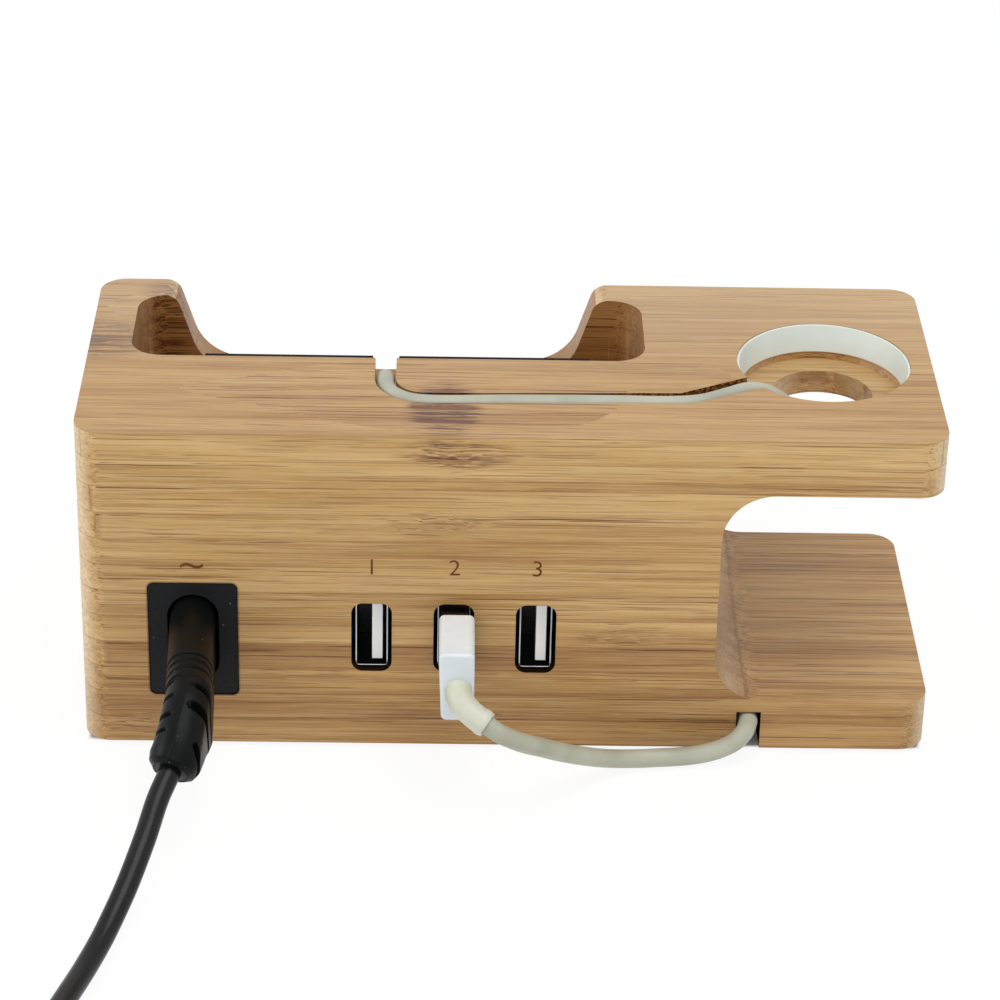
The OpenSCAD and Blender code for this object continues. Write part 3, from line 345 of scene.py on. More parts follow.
# %% Bamboo material
def bamboo(name):
    material, tree, shader, place = blank(name)
    x, y, z = add(tree, "ShaderNodeSeparateXYZ", Vector=place).outputs
    slow = add(tree, "ShaderNodeTexNoise", Vector=drawn_out(tree, place, (0.01, 0.03, 0.03)), Scale=1.0,
               Detail=1.0).outputs[0]

    # Which ply and which strip a point is in; every strip has its own tone and its own piece of grain.
    ply_at = calc(tree, "MULTIPLY_ADD", z, 1 / PLY, calc(tree, "MULTIPLY_ADD", slow, 0.1, -0.21))
    ply = calc(tree, "FLOOR", ply_at)
    shift = add(tree, "ShaderNodeTexWhiteNoise", {"noise_dimensions": "1D"}, W=ply).outputs["Value"]
    strip_at = calc(tree, "MULTIPLY_ADD", y, 1 / STRIP, calc(tree, "MULTIPLY", shift, 7.0))
    strip = calc(tree, "FLOOR", strip_at)
    own = add(tree, "ShaderNodeTexWhiteNoise", {"noise_dimensions": "3D"},
              Vector=add(tree, "ShaderNodeCombineXYZ", X=ply, Y=strip, Z=5.0).outputs[0])
    jump = add(tree, "ShaderNodeVectorMath", {"operation": "SCALE"}, _0=own.outputs["Color"], Scale=50.0).outputs[0]

    # Fibres wander a little everywhere, and more at a joint.
    dark, wander = 0.0, 0.12
    for centre, size, strength, reach in JOINTS:
        away = add(tree, "ShaderNodeVectorMath", {"operation": "SUBTRACT"}, _0=place, _1=centre).outputs[0]
        away = add(tree, "ShaderNodeVectorMath", {"operation": "DIVIDE"}, _0=away, _1=size).outputs[0]
        away = add(tree, "ShaderNodeVectorMath", {"operation": "LENGTH"}, _0=away).outputs["Value"]
        spot = step(tree, away, 1.3, 0.35)
        dark = calc(tree, "MULTIPLY_ADD", spot, strength, dark)
        if reach:
            wander = calc(tree, "MULTIPLY_ADD", spot, reach * 2.4, wander)
    bend = add(tree, "ShaderNodeTexNoise", Vector=drawn_out(tree, place, (0.12, 0.3, 0.3)), Scale=1.0,
               Detail=2.0).outputs["Color"]
    bend = add(tree, "ShaderNodeVectorMath", {"operation": "SUBTRACT"}, _0=bend, _1=(0.5, 0.5, 0.5)).outputs[0]
    bend = add(tree, "ShaderNodeVectorMath", {"operation": "SCALE"}, _0=bend, Scale=wander).outputs[0]
    bend = add(tree, "ShaderNodeVectorMath", {"operation": "MULTIPLY"}, _0=bend, _1=(0, 2.2, 2.2)).outputs[0]
    grain_at = add(tree, "ShaderNodeVectorMath", _0=place, _1=bend).outputs[0]
    grain_at = add(tree, "ShaderNodeVectorMath", _0=grain_at, _1=jump).outputs[0]

    def noise(along, across, detail=2.0, rough=0.5):
        return add(tree, "ShaderNodeTexNoise", Vector=drawn_out(tree, grain_at, (along, across, across)),
                   Scale=1.0, Detail=detail, Roughness=rough).outputs[0]

    def cells(along, across):
        return add(tree, "ShaderNodeTexVoronoi", Vector=drawn_out(tree, grain_at, (along, across, across)),
                   Scale=1.0).outputs["Distance"]

    # Tone: slow bands, a share from the strip, and painted shade that makes it a little darker towards the base.
    broad, medium, fine = noise(0.010, 0.30), noise(0.016, 1.15, 3.0), noise(0.04, 4.6, 3.0, 0.6)
    tone = calc(tree, "MULTIPLY_ADD", medium, 0.30, calc(tree, "MULTIPLY", broad, 0.50))
    tone = calc(tree, "MULTIPLY_ADD", fine, 0.20, tone)
    tone = calc(tree, "ADD", tone, calc(tree, "MULTIPLY_ADD", own.outputs["Value"], 0.11, -0.05))
    tone = calc(tree, "ADD", tone, calc(tree, "MULTIPLY_ADD", z, 0.0011, -0.045))
    colour = ramp(tree, tone, (0.36, "#A67842"), (0.45, "#BE9358"), (0.53, "#CEA66A"), (0.64, "#DBB67C"))

    # Cut across the grain, the fibres are dots; along it they are dashes.
    facing = add(tree, "ShaderNodeSeparateXYZ", Vector=add(tree, "ShaderNodeTexCoord").outputs["Normal"])
    across_grain = step(tree, calc(tree, "ABSOLUTE", facing.outputs[0]), 0.3, 0.9)
    along_grain = calc(tree, "SUBTRACT", 1.0, across_grain)
    gathered = step(tree, noise(0.012, 0.25), 0.38, 0.62)
    ply_top = step(tree, calc(tree, "FRACT", ply_at), 0.5, 0.97)
    gathered = calc(tree, "MAXIMUM", calc(tree, "MULTIPLY", gathered, 0.8), ply_top)
    long_fibres = calc(tree, "MULTIPLY", step(tree, cells(0.016, 1.7), 0.25, 0.18),
                       calc(tree, "MULTIPLY_ADD", gathered, 0.75, 0.2))
    short_fibres = calc(tree, "MULTIPLY", step(tree, cells(0.03, 2.6), 0.28, 0.15),
                        calc(tree, "MULTIPLY_ADD", gathered, 0.35, 0.25))
    crowded = step(tree, noise(0.02, 0.6), 0.44, 0.6)
    hairs = calc(tree, "MULTIPLY", step(tree, cells(0.022, 3.0), 0.27, 0.16),
                 calc(tree, "MULTIPLY_ADD", crowded, 0.6, 0.2))
    dashes = calc(tree, "MAXIMUM", calc(tree, "MAXIMUM", long_fibres, short_fibres), hairs)
    dashes = calc(tree, "MAXIMUM", dashes, step(tree, fine, 0.54, 0.64, 0.4))
    colour = mixed_in(tree, colour, calc(tree, "MULTIPLY", dashes, along_grain), "#855430", "MULTIPLY")
    pale = calc(tree, "MULTIPLY", step(tree, fine, 0.47, 0.38, 0.4), along_grain)
    colour = mixed_in(tree, colour, pale, "#E2C694")
    colour = mixed_in(tree, colour, calc(tree, "MULTIPLY", across_grain, 0.72), "#EBD6B2")
    bundle = cells(0.012, 1.5)
    ring = calc(tree, "MULTIPLY", step(tree, bundle, 0.62, 0.42), step(tree, bundle, 0.20, 0.36))
    ring = calc(tree, "MULTIPLY", ring, calc(tree, "MULTIPLY", across_grain, 0.25))
    colour = mixed_in(tree, colour, ring, "#B08A66", "MULTIPLY")
    middle = calc(tree, "MULTIPLY", step(tree, bundle, 0.32, 0.12, 0.55), across_grain)
    colour = mixed_in(tree, colour, middle, "#A87C50", "MULTIPLY")

    # A thin darker glue line between two plies and between two strips.
    seam = calc(tree, "MINIMUM", calc(tree, "PINGPONG", ply_at, 0.5),
                calc(tree, "MULTIPLY", calc(tree, "PINGPONG", strip_at, 0.5), STRIP / PLY))
    colour = mixed_in(tree, colour, step(tree, seam, 0.04, 0.012, 0.35), "#A97B4E", "MULTIPLY")

    # Joints of the culm, broken up by the same grain, with small dark pores.
    uneven = calc(tree, "MULTIPLY_ADD", medium, 4.2, calc(tree, "MULTIPLY_ADD", fine, 3.4, -3.3))
    broken = add(tree, "ShaderNodeClamp", Value=calc(tree, "MULTIPLY", dark, uneven), Max=0.9).outputs[0]
    colour = mixed_in(tree, colour, broken, "#8A5C50", "MULTIPLY")
    upright = calc(tree, "MULTIPLY", step(tree, facing.outputs[2], 0.6, 0.2), along_grain)
    scored = calc(tree, "MULTIPLY", calc(tree, "MULTIPLY", dashes, upright), step(tree, dark, 0.1, 0.5, 0.9))
    colour = mixed_in(tree, colour, scored, "#8A5730", "MULTIPLY")
    pores = calc(tree, "MULTIPLY", step(tree, cells(0.3, 1.3), 0.26, 0.12), step(tree, dark, 0.4, 0.8, 0.6))
    colour = mixed_in(tree, colour, pores, "#6E4A44", "MULTIPLY")

    # Milled walls: a little darker than the planed faces, with the same dots and dashes. A value of 2 is painted shade:
    # the inside of a socket, and of the cord's notch, near black.
    # Painted sheen: the top is paler towards its far side.
    far_top_sheen = calc(tree, "MULTIPLY", step(tree, facing.outputs[2], 0.5, 1.0, 0.22), step(tree, z, 50.0, 58.0))
    colour = mixed_in(tree, colour, calc(tree, "MULTIPLY", far_top_sheen, step(tree, y, 12.0, -20.0)), "#DCC7A6")
    # Painted shade: upright faces are darker towards the foot of the block.
    low = step(tree, z, 15.0, 7.0, 0.22)
    colour = mixed_in(tree, colour, calc(tree, "MULTIPLY", low, step(tree, facing.outputs[2], 0.6, 0.2)),
                      "#A9896A", "MULTIPLY")
    # Painted shade: a thin dark rim round each hole in the ports' face.
    outline = 0.0
    for centre_x, centre_z, half_w, half_h, r in HOLES:
        out_x = calc(tree, "ADD", calc(tree, "ABSOLUTE", calc(tree, "ADD", x, -centre_x)), r - half_w)
        out_z = calc(tree, "ADD", calc(tree, "ABSOLUTE", calc(tree, "ADD", z, -centre_z)), r - half_h)
        corner = add(tree, "ShaderNodeCombineXYZ", X=calc(tree, "MAXIMUM", out_x, 0.0),
                     Y=calc(tree, "MAXIMUM", out_z, 0.0)).outputs[0]
        away = add(tree, "ShaderNodeVectorMath", {"operation": "LENGTH"}, _0=corner).outputs["Value"]
        outline = calc(tree, "MAXIMUM", outline, step(tree, away, r + 0.34, r + 0.1, 0.6))
    outline = calc(tree, "MULTIPLY", outline, step(tree, y, 29.0, 30.0))
    colour = mixed_in(tree, colour, outline, "#7C4A2A", "MULTIPLY")
    milled = add(tree, "ShaderNodeAttribute", {"attribute_name": "milled"}).outputs["Fac"]
    torn = add(tree, "ShaderNodeTexNoise", Vector=place, Scale=1.5, Detail=2.0).outputs[0]
    torn = calc(tree, "MULTIPLY", step(tree, torn, 0.42, 0.56, 0.85), step(tree, milled, 1.0, 1.3))
    torn = calc(tree, "MULTIPLY", torn, step(tree, x, -10.0, -22.0))
    colour = mixed_in(tree, colour, torn, "#6A4526", "MULTIPLY")
    colour = mixed_in(tree, colour, step(tree, milled, 0.0, 1.0), "#CDB39E", "MULTIPLY")
    # Painted shade: near black inside the sockets and the cord's notch.
    colour = mixed_in(tree, colour, step(tree, milled, 1.2, 2.0, 0.94), "#0B0A09")
    tree.links.new(colour, shader.inputs["Base Color"])
    shader.inputs["Roughness"].default_value = 0.42
    tree.links.new(step(tree, milled, 1.4, 0.6, 0.45), shader.inputs["Specular IOR Level"])
    height = calc(tree, "MULTIPLY_ADD", dashes, -0.6, fine)
    bump = add(tree, "ShaderNodeBump", Strength=0.15, Distance=0.08 * MM, Height=height)
    tree.links.new(bump.outputs[0], shader.inputs["Normal"])
    return material


oiled_bamboo = bamboo("laminated_bamboo_oiled")
print("bamboo nodes:", len(oiled_bamboo.node_tree.nodes))

# %% [markdown]
# ## Plastics, rubber and metals
# The plugs are moulded PVC and ABS, the well's liner is white ABS, the cords are PVC, the pads are foam.
# Moulded plastic is never one flat tone: a fine texture from the mould breaks the light, and handling
# leaves faint smears. Each recipe is a base colour with a slow variation, a roughness and a fine bump.


# %% Moulded, rubbery and metal finishes
def finish(name, code, darker, roughness, grit_mm=0.25, bump=0.15, specular=0.5, metallic=0.0, dust=0.0,
           drawn=(1, 1, 1)):
    """A slow drift between two close colours, a fine bump of the given grain size and, if asked, pale dust."""
    material, tree, shader, place = blank(name)
    place = drawn_out(tree, place, drawn)
    slow = add(tree, "ShaderNodeTexNoise", Vector=place, Scale=0.12, Detail=3.0).outputs[0]
    colour = ramp(tree, slow, (0.35, darker), (0.65, code))
    if dust:
        specks = add(tree, "ShaderNodeTexVoronoi", Vector=place, Scale=0.75)
        some = add(tree, "ShaderNodeSeparateXYZ", Vector=specks.outputs["Color"]).outputs[0]
        here = calc(tree, "MULTIPLY", step(tree, specks.outputs["Distance"], 0.14, 0.05),
                    step(tree, some, 0.72, 0.9, dust))
        colour = mixed_in(tree, colour, here, "#9A9A98")
    tree.links.new(colour, shader.inputs["Base Color"])
    grit = add(tree, "ShaderNodeTexNoise", Vector=place, Scale=0.5 / grit_mm, Detail=2.0).outputs[0]
    rough = add(tree, "ShaderNodeMapRange", Value=grit, From_Min=0.3, From_Max=0.7, To_Min=roughness * 0.85,
                To_Max=min(1.0, roughness * 1.15)).outputs[0]
    tree.links.new(rough, shader.inputs["Roughness"])
    made = add(tree, "ShaderNodeBump", Strength=bump, Distance=0.04 * MM, Height=grit)
    tree.links.new(made.outputs[0], shader.inputs["Normal"])
    shader.inputs["Specular IOR Level"].default_value = specular
    shader.inputs["Metallic"].default_value = metallic
    return material


# Plastics that show: a satin liner, a polished plug, matt cords and a glossier black cord
white_abs = finish("white_abs_moulded", "#EDF7F3", "#E5EFEA", 0.42, 0.5, 0.06)
plug_abs = finish("white_abs_polished", "#ECF3F8", "#E2EAF0", 0.24, 0.8, 0.02)
cream_pvc = finish("cream_pvc_cord", "#C0C1AF", "#ADAE9C", 0.48, 0.3, 0.12)
sleeve_pvc = finish("cream_pvc_sleeve", "#DADCCB", "#CFD1BE", 0.42, 0.4, 0.08)
black_pvc = finish("black_pvc_moulded", "#0F1011", "#090A0A", 0.36, 0.3, 0.2, 0.11, dust=0.4)
black_cord = finish("black_pvc_cord", "#151516", "#0E0E0F", 0.28, 0.6, 0.06, 0.24)
black_panel = finish("black_abs_panel", "#17181A", "#131416", 0.6, 0.35, 0.12, 0.22, dust=0.6)
black_foam = finish("black_foam_pad", "#202122", "#141415", 0.92, 0.22, 0.6, 0.2)
cover_abs = finish("black_abs_fine_texture", "#26272A", "#1E1F21", 0.6, 0.3, 0.35, dust=0.3)
foot_rubber = finish("black_silicone_rubber", "#2B2B2C", "#222223", 0.75, 0.35, 0.3, 0.3)
port_white = finish("white_pbt_insulator", "#FFFFFF", "#FDFEFE", 0.2, 0.3, 0.04, 0.8)
# Painted shade: the tongue's deep end, far inside the socket, is near black
port_painted_shade = finish("painted_shade_pbt_insulator", "#0D0D0E", "#080809", 0.3, 0.3, 0.05)
tie_nylon = finish("black_nylon_strap", "#1D1D1E", "#121213", 0.95, 0.18, 0.8, 0.2)
# Metals: bright plated sheet outside; the steel seen only in a socket's shade, and the watch plug's shell in its
# socket, are darker copies as painted shade
shell_steel = finish("tin_plated_steel", "#C9CBCE", "#B4B7BB", 0.22, 0.4, 0.04, metallic=1.0)
shade_steel = finish("tin_plated_steel_in_shade", "#1A1B1C", "#101112", 0.16, 0.6, 0.03, metallic=0.6)
plug_shell_painted_shade = finish("nickel_plated_steel_painted_shade", "#453E38", "#352F2A", 0.3, 0.4, 0.05, metallic=1.0)
screw_steel = finish("zinc_plated_steel", "#B9BBBE", "#9FA2A6", 0.35, 0.2, 0.1, metallic=1.0)
gold_plate = finish("gold_plated_bronze", "#E0B45C", "#C79A42", 0.25, 0.3, 0.03, metallic=1.0)
nickel_brass = finish("nickel_plated_brass", "#C6BFAE", "#A89F8A", 0.28, 0.4, 0.06, metallic=1.0, drawn=(1, 1, 6))
copper_wire = finish("enamelled_copper_wire", "#B4622F", "#9A4F22", 0.25, 0.4, 0.03, metallic=1.0)
# The charger's own materials
burned_wood = finish("laser_burned_bamboo", "#7D4C2B", "#643B21", 0.8, 0.2, 0.3, 0.1)
board_green = finish("green_solder_resist", "#1F6B45", "#185A39", 0.3, 0.6, 0.1)
ferrite_grey = finish("sintered_ferrite", "#3A3B3F", "#2C2D30", 0.55, 0.3, 0.3)
yellow_tape = finish("yellow_polyester_tape", "#E2C22F", "#CFAE20", 0.3, 0.8, 0.05)
can_sleeve = finish("dark_blue_pvc_sleeve", "#232B52", "#1A2142", 0.25, 0.6, 0.03)
fuse_ceramic = finish("glazed_ceramic_fuse", "#D9CDAE", "#C9BB98", 0.25, 0.4, 0.04)
chip_epoxy = finish("black_moulded_epoxy", "#27282A", "#1D1E1F", 0.55, 0.15, 0.35)
dipped_blue = finish("blue_dipped_epoxy", "#3E78B8", "#32659F", 0.3, 0.7, 0.1)
live_brown = finish("brown_pvc_insulation", "#6B4326", "#5A361D", 0.4, 0.4, 0.05)
neutral_blue = finish("blue_pvc_insulation", "#2B5EA8", "#234F90", 0.4, 0.4, 0.05)
print("finishes:", len(bpy.data.materials))

# %% [markdown]
# ## From construction to milled wood
# A real block never has a knife edge: the outer arrises are sanded round, the slots and pockets are only
# eased. A copy of the construction's mesh is merged, its flat faces are joined, and each sharp edge gets a
# width by where it lies. The Bevel modifier then rounds them all at once.


# %% Ease the edges of a construction mesh
WIDE_FACE = 100  # mm2; a face this wide is a plane, and its shading is kept exactly flat


def dress(piece, material):
    piece.data.materials.clear()
    piece.data.materials.append(material)


def eased_piece(name, node, body, material, width, segments=2, width_of=None, move=None):
    """A copy of the node with rounded edges, width mm wide or as width_of(middle) says. move(point) may
    shift a corner first; both get millimetres."""
    copy = bmesh.new()
    copy.from_mesh(nodes[node].data)
    bmesh.ops.remove_doubles(copy, verts=copy.verts, dist=1e-6)
    bmesh.ops.dissolve_limit(copy, angle_limit=math.radians(0.6), verts=copy.verts, edges=copy.edges)
    if move:
        for vert in copy.verts:
            vert.co = Vector(move(vert.co / MM)) * MM
    weight = copy.edges.layers.float.new("bevel_weight_edge")
    for edge in copy.edges:
        if len(edge.link_faces) == 2 and edge.calc_face_angle(0) > math.radians(32):
            middle = (edge.verts[0].co + edge.verts[1].co) / 2 / MM
            edge[weight] = (width_of(middle) if width_of else width) / width
    mesh = bpy.data.meshes.new(name)
    copy.to_mesh(mesh)
    copy.free()
    mesh.shade_smooth()
    piece = bpy.data.objects.new(name, mesh)
    bpy.context.scene.collection.objects.link(piece)
    bevel = piece.modifiers.new("eased_edges", "BEVEL")
    bevel.limit_method, bevel.width, bevel.segments = "WEIGHT", width * MM, segments
    piece.modifiers.new("flat_faces_stay_flat", "WEIGHTED_NORMAL")
    done = bpy.data.meshes.new_from_object(piece.evaluated_get(bpy.context.evaluated_depsgraph_get()))
    piece.modifiers.clear()
    piece.data = done
    across = [Vector(corner.vector) for corner in done.corner_normals]
    for face in done.polygons:
        if face.area > WIDE_FACE * MM * MM:
            for corner in face.loop_indices:
                across[corner] = face.normal.copy()
    done.normals_split_custom_set(across)
    dress(piece, material)
    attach(piece, body)
    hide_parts(node)
    return piece


block_low, block_high = (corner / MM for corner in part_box("bamboo_body"))


def block_edge(middle):
    """Width in mm of the rounding at an edge of the block."""
    out_y = min(middle.y - block_low.y, block_high.y - middle.y)
    out_x = min(middle.x - block_low.x, block_high.x - middle.x)
    outer = out_y < 0.05 or out_x < 0.05 or out_y + out_x < 3.2
    if middle.z < block_low.z + 0.05:
        return 1.3 if outer else 0.2
    if middle.z > block_high.z - 0.05:
        return 0.7 if outer else 0.22
    return 0.4 if outer else 0.22


bamboo_block = eased_piece("bamboo_block", "bamboo_body", "stand", oiled_bamboo, 1.3, 3, block_edge)
print("block:", len(bamboo_block.data.polygons), "faces")


# %% Say which faces a milling cutter made
def milled_at(c, n):
    """0 on planed faces, up to 1 on milled walls, and 2 for painted shade, near black, inside the sockets and the
    cord's notch; c and n are place and normal.
    """
    if c.z > block_high.z - 0.75 and n.z > 0.3 or abs(c.y) > block_high.y - 0.75 and abs(n.y) > 0.3:
        return 0.0
    if c.z < block_low.z + 1.4 or abs(c.x) > block_high.x - 5 and abs(c.y) > 20:
        return 0.0
    if abs(abs(c.x) - block_high.x) < 0.5 and abs(n.x) > 0.5:
        return 0.0
    # Inside the sockets and the cord's notch, shade is painted near black.
    in_socket = (abs(c.x - 54.4) < 8.2 and abs(c.z - 21.7) < 11.7) or (
        abs(c.x - 9.4) < 18.2 and abs(c.z - 22.5) < 7.0)
    if c.y > 26 and in_socket or c.z < 8.4 and abs(c.x + 42.55) < 2.4:
        return 2.0
    if c.x < -26 and 10 < c.z < 51.6:
        return 0.05 + 0.6 * max(0.0, -n.x)
    if abs(c.x + 55) < 16 and c.z > 50:
        return 0.15 if n.z > 0.5 else 0.45
    if c.z > 55 and c.y > 3:
        return 1.35
    return 1.0


mesh = bamboo_block.data
milled = mesh.attributes.new("milled", "FLOAT", "FACE")
milled.data.foreach_set("value", [milled_at(p.center / MM, p.normal) for p in mesh.polygons])
print("milled faces:", sum(v.value > 0 for v in milled.data), "of", len(mesh.polygons))

# %% [markdown]
# ## The small hard pieces
# The other pieces of the stand are moulded or stamped. Their edges get the radius that a mould or a press
# leaves, from 0.1 to 0.4 mm, and each takes its own finish.

# %% Pieces of the stand
pad_up = lambda p: p + Vector((0, 0.05, 0.38)) if p.z > 60.3 else p
for name, node, material, width in (
        ("bottom_cover", "base_cover", cover_abs, 0.25), ("feet", "rubber_feet", foot_rubber, 0.25),
        ("ferrite_core", "transformer_core", ferrite_grey, 0.4),
        ("taped_winding", "transformer_winding", yellow_tape, 0.3), ("chip", "controller_chip", chip_epoxy, 0.1),
        ("bridge", "bridge_rectifier", chip_epoxy, 0.15), ("big_can", "bulk_capacitor", can_sleeve, 0.6),
        ("small_cans", "output_capacitors", can_sleeve, 0.35), ("blue_cap", "safety_capacitor", dipped_blue, 0.9),
        ("diode", "output_diode", chip_epoxy, 0.3), ("fuse", "input_fuse", fuse_ceramic, 0.3),
        ("circuit_board", "charger_board", board_green, 0.08), ("inlet_face", "inlet_housing", black_panel, 0.35)):
    eased_piece(name, node, "stand", material, width)
eased_piece("pad_left", "phone_pad_left", "stand", black_foam, 0.15, move=pad_up)
eased_piece("pad_right", "phone_pad_right", "stand", black_foam, 0.15, move=pad_up)


def thin_lip(p):
    """The well's liner is drafted: its wall leans out to a lip only a third of a millimetre wide."""
    r = math.hypot(p.x + 55, p.y)
    return Vector((-55 + (p.x + 55) * 14.85 / r, p.y * 14.85 / r, p.z)) if p.z > 60.5 and r < 14.6 else p


eased_piece("well_sleeve", "watch_sleeve", "stand", white_abs, 0.12, 2, move=thin_lip)
for node, material in (("inlet_pins", nickel_brass), ("live_wire", live_brown), ("neutral_wire", neutral_blue),
                       ("usb_contacts_1", gold_plate), ("usb_contacts_2", gold_plate),
                       ("usb_contacts_3", gold_plate), ("watch_plug_contacts", gold_plate),
                       ("mains_plug_contacts", gold_plate)):
    dress(nodes[node], material)

# %% [markdown]
# ## Receptacles and the watch plug
# A receptacle is a folded sheet-steel shell round a white tongue with four gold contacts. Only the shell's
# cut edge catches light. Its inside sits in shade, so faces there get a second, darker finish by where they
# lie, as painted shade: near black on the steel inside and on the tongue's deep end. The watch plug's
# steel shell sits in the middle socket and is darkened as painted shade too. The plug's white grip is
# polished and its edges are well rounded.

# %% Receptacles
PORTS = (23.6, 9.4, -4.8)
PORT_Z, PORT_FACE = 22.5, 28.95


def second_finish(piece, material, picks):
    """Gives another finish to the faces that picks(centre) names, in millimetres."""
    piece.data.materials.append(material)
    for face in piece.data.polygons:
        if picks(face.center / MM):
            face.material_index = len(piece.data.materials) - 1


for k, x in enumerate(PORTS, 1):
    shell = eased_piece(f"port_shell_{k}", f"usb_shell_{k}", "stand", shell_steel, 0.08)
    # The shell's inside and the tongue's deep end take darker finishes as painted shade
    second_finish(shell, shade_steel, lambda c, x=x: c.y < PORT_FACE - 0.3 and (
        abs(c.x - x) < 2.75 and abs(c.z - PORT_Z) < 6.45))
    tongue = eased_piece(f"tongue_{k}", f"usb_tongue_{k}", "stand", port_white, 0.3, 3)
    second_finish(tongue, port_painted_shade, lambda c: c.y < PORT_FACE - 10.3)
eased_piece("plug_insulator", "watch_plug_insulator", "watch_plug", port_white, 0.12)
# The plug's shell sits in the middle socket; its steel is darkened as painted shade
eased_piece("plug_shell", "watch_plug_shell", "watch_plug", plug_shell_painted_shade, 0.12)


def grip_corner(p):
    """The grip's lower half is a little narrower, and its top a little higher."""
    narrower = 0.45 if p.x > 8.9 and p.z < 22.5 else 0.0
    return p + Vector((-narrower, 0.0, 0.2 if p.z > 28 else 0.0))


eased_piece("plug_grip", "watch_plug_grip", "watch_plug", plug_abs, 0.6, 4, move=grip_corner)
eased_piece("wall_plug", "wall_plug_body", "mains_lead", black_pvc, 1.0, 3)
eased_piece("blades", "wall_plug_blades", "mains_lead", nickel_brass, 0.3)
eased_piece("coil_strap", "cord_tie", "mains_lead", tie_nylon, 0.15)
print("receptacles and plugs are dressed")

# %% [markdown]
# ## Mains plug and its strain relief
# The plug is moulded on the cord: an upright stadium that slips into the inlet, four grip grooves, then a
# softer tail with staggered slots that let it bend, ending in a round bulb. Each is one sweep, and a
# function of place and angle presses the grooves and slots into it. The tail has slots on two sides of a
# raised spine, which is where the halves of the mould met. The plug hangs a little to one side, because
# the recess is wider than the plug and the cord pulls at it.

# %% Mains plug
plug_low, plug_high = (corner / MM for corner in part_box("mains_plug_body"))
plug_x, plug_z = (plug_low.x + plug_high.x) / 2, (plug_low.z + plug_high.z) / 2
PLUG_SIDES = 96
GROOVES = (47.9, 50.0, 52.3, 54.6)


def lean(y):
    """How far the plug hangs towards the watch side at y, in mm."""
    return -max(0.0, (y - 33) / 22.3) ** 1.05 if y < 55.3 else -max(0.0, (66.8 - y) / 11.5)


def groove(y, turn):
    """Depth of the grip grooves; the last one is cut on one side only."""
    deep = 0.0
    for place in GROOVES:
        if place < 54 or math.cos(turn) > 0.1:
            deep = max(deep, 0.55 * min(1.0, 2.6 * max(0.0, 1 - abs(y - place) / 0.5)))
    return deep


shape = bmesh.new()
rings = []
for i in range(281):
    y = plug_low.y + (plug_high.y - plug_low.y) * i / 280
    ring = []
    for k in range(PLUG_SIDES):
        turn = 2 * math.pi * k / PLUG_SIDES
        point, out = outline_point(turn, 3.85, 8.15)
        point -= out * (0.4 * max(0.0, 1 - (y - plug_low.y) / 0.4) + groove(y, turn))
        ring.append(shape.verts.new(Vector((plug_x + point.x + lean(y), y, plug_z + point.y)) * MM))
    rings.append(ring)
for a, b in zip(rings, rings[1:]):
    for k in range(PLUG_SIDES):
        shape.faces.new((a[k], a[(k + 1) % PLUG_SIDES], b[(k + 1) % PLUG_SIDES], b[k]))
shape.faces.new(reversed(rings[0]))
shape.faces.new(rings[-1])
mains_plug = piece_from("mains_plug", shape, 30)
dress(mains_plug, black_pvc)
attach(mains_plug, "mains_lead")
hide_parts("mains_plug_body")
print("mains plug:", len(mains_plug.data.polygons), "faces")

# %% Strain relief
TAIL = [(54.4, 55.25, 21.7), (54.4, 58.4, 21.6), (54.6, 61.4, 21), (55, 64.2, 19.8), (55.9, 66.8, 18.2)]
tail_path = smooth_path([(x + lean(y + 0.1), y, z) for x, y, z in TAIL], 60)
tail_length = length_of(tail_path) / MM
at = [0, 3.2, 6.3, 9.4, tail_length - 2.0, tail_length - 0.7, tail_length]
tail_size = lambda s: (np.interp(s, at, [3.85, 3.85, 3.95, 4.2, 4.4, 4.0, 3.0]),
                       np.interp(s, at, [8.1, 7.4, 6.2, 5.2, 4.7, 4.2, 3.2]))
# Place along the tail, middle of the slot's angle, half its reach, half its width, its depth and its slant
SLOTS = [(1.6, 178, 82, 0.55, 1.3, 0), (4.6, 178, 82, 0.6, 1.4, 0), (10.2, 168, 42, 0.5, 1.3, 0.035),
         (0.4, 2, 72, 0.3, 0.8, 0), (3.2, 2, 76, 0.32, 0.9, 0), (5.9, 2, 76, 0.32, 0.9, 0), (8.0, 40, 34, 0.28, 0.6, 0)]


def tail_dent(s, angle):
    """Slots on both sides of the spine, each with steep walls and rounded ends, and the spine itself."""
    deep = -0.14 * max(0.0, 1 - abs((angle - 92 + 180) % 360 - 180) / 3.5)
    for place, middle, reach, half, depth, slant in SLOTS:
        turned = (angle - middle + 180) % 360 - 180
        if abs(turned) < reach:
            left = reach - abs(turned)
            wide = half * min(1.0, left / 10) ** 0.5
            steep = max(0.0, min(1.0, (wide - abs(s - place - slant * turned)) / 0.12 + 0.5))
            deep = max(deep, depth * steep * min(1.0, left / 8))
    return deep


strain_relief = swept("strain_relief", tail_path, tail_size, 128, start=(0, 1, 0), end=tail_way, dent=tail_dent,
                      sharp=35)
dress(strain_relief, black_pvc)
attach(strain_relief, "mains_lead")
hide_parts("mains_strain_relief")
print("strain relief:", round(tail_length, 1), "mm long,", len(strain_relief.data.polygons), "faces")

# %% Sleeve of the watch plug
SLEEVE = [(8.6, 46.75, 22.3), (8.5, 48.4, 22.2), (7.6, 50.4, 21.5), (5.9, 51.8, 20.4), (3.6, 52.6, 19)]
sleeve_path = smooth_path(SLEEVE, 12)
sleeve_length = length_of(sleeve_path) / MM


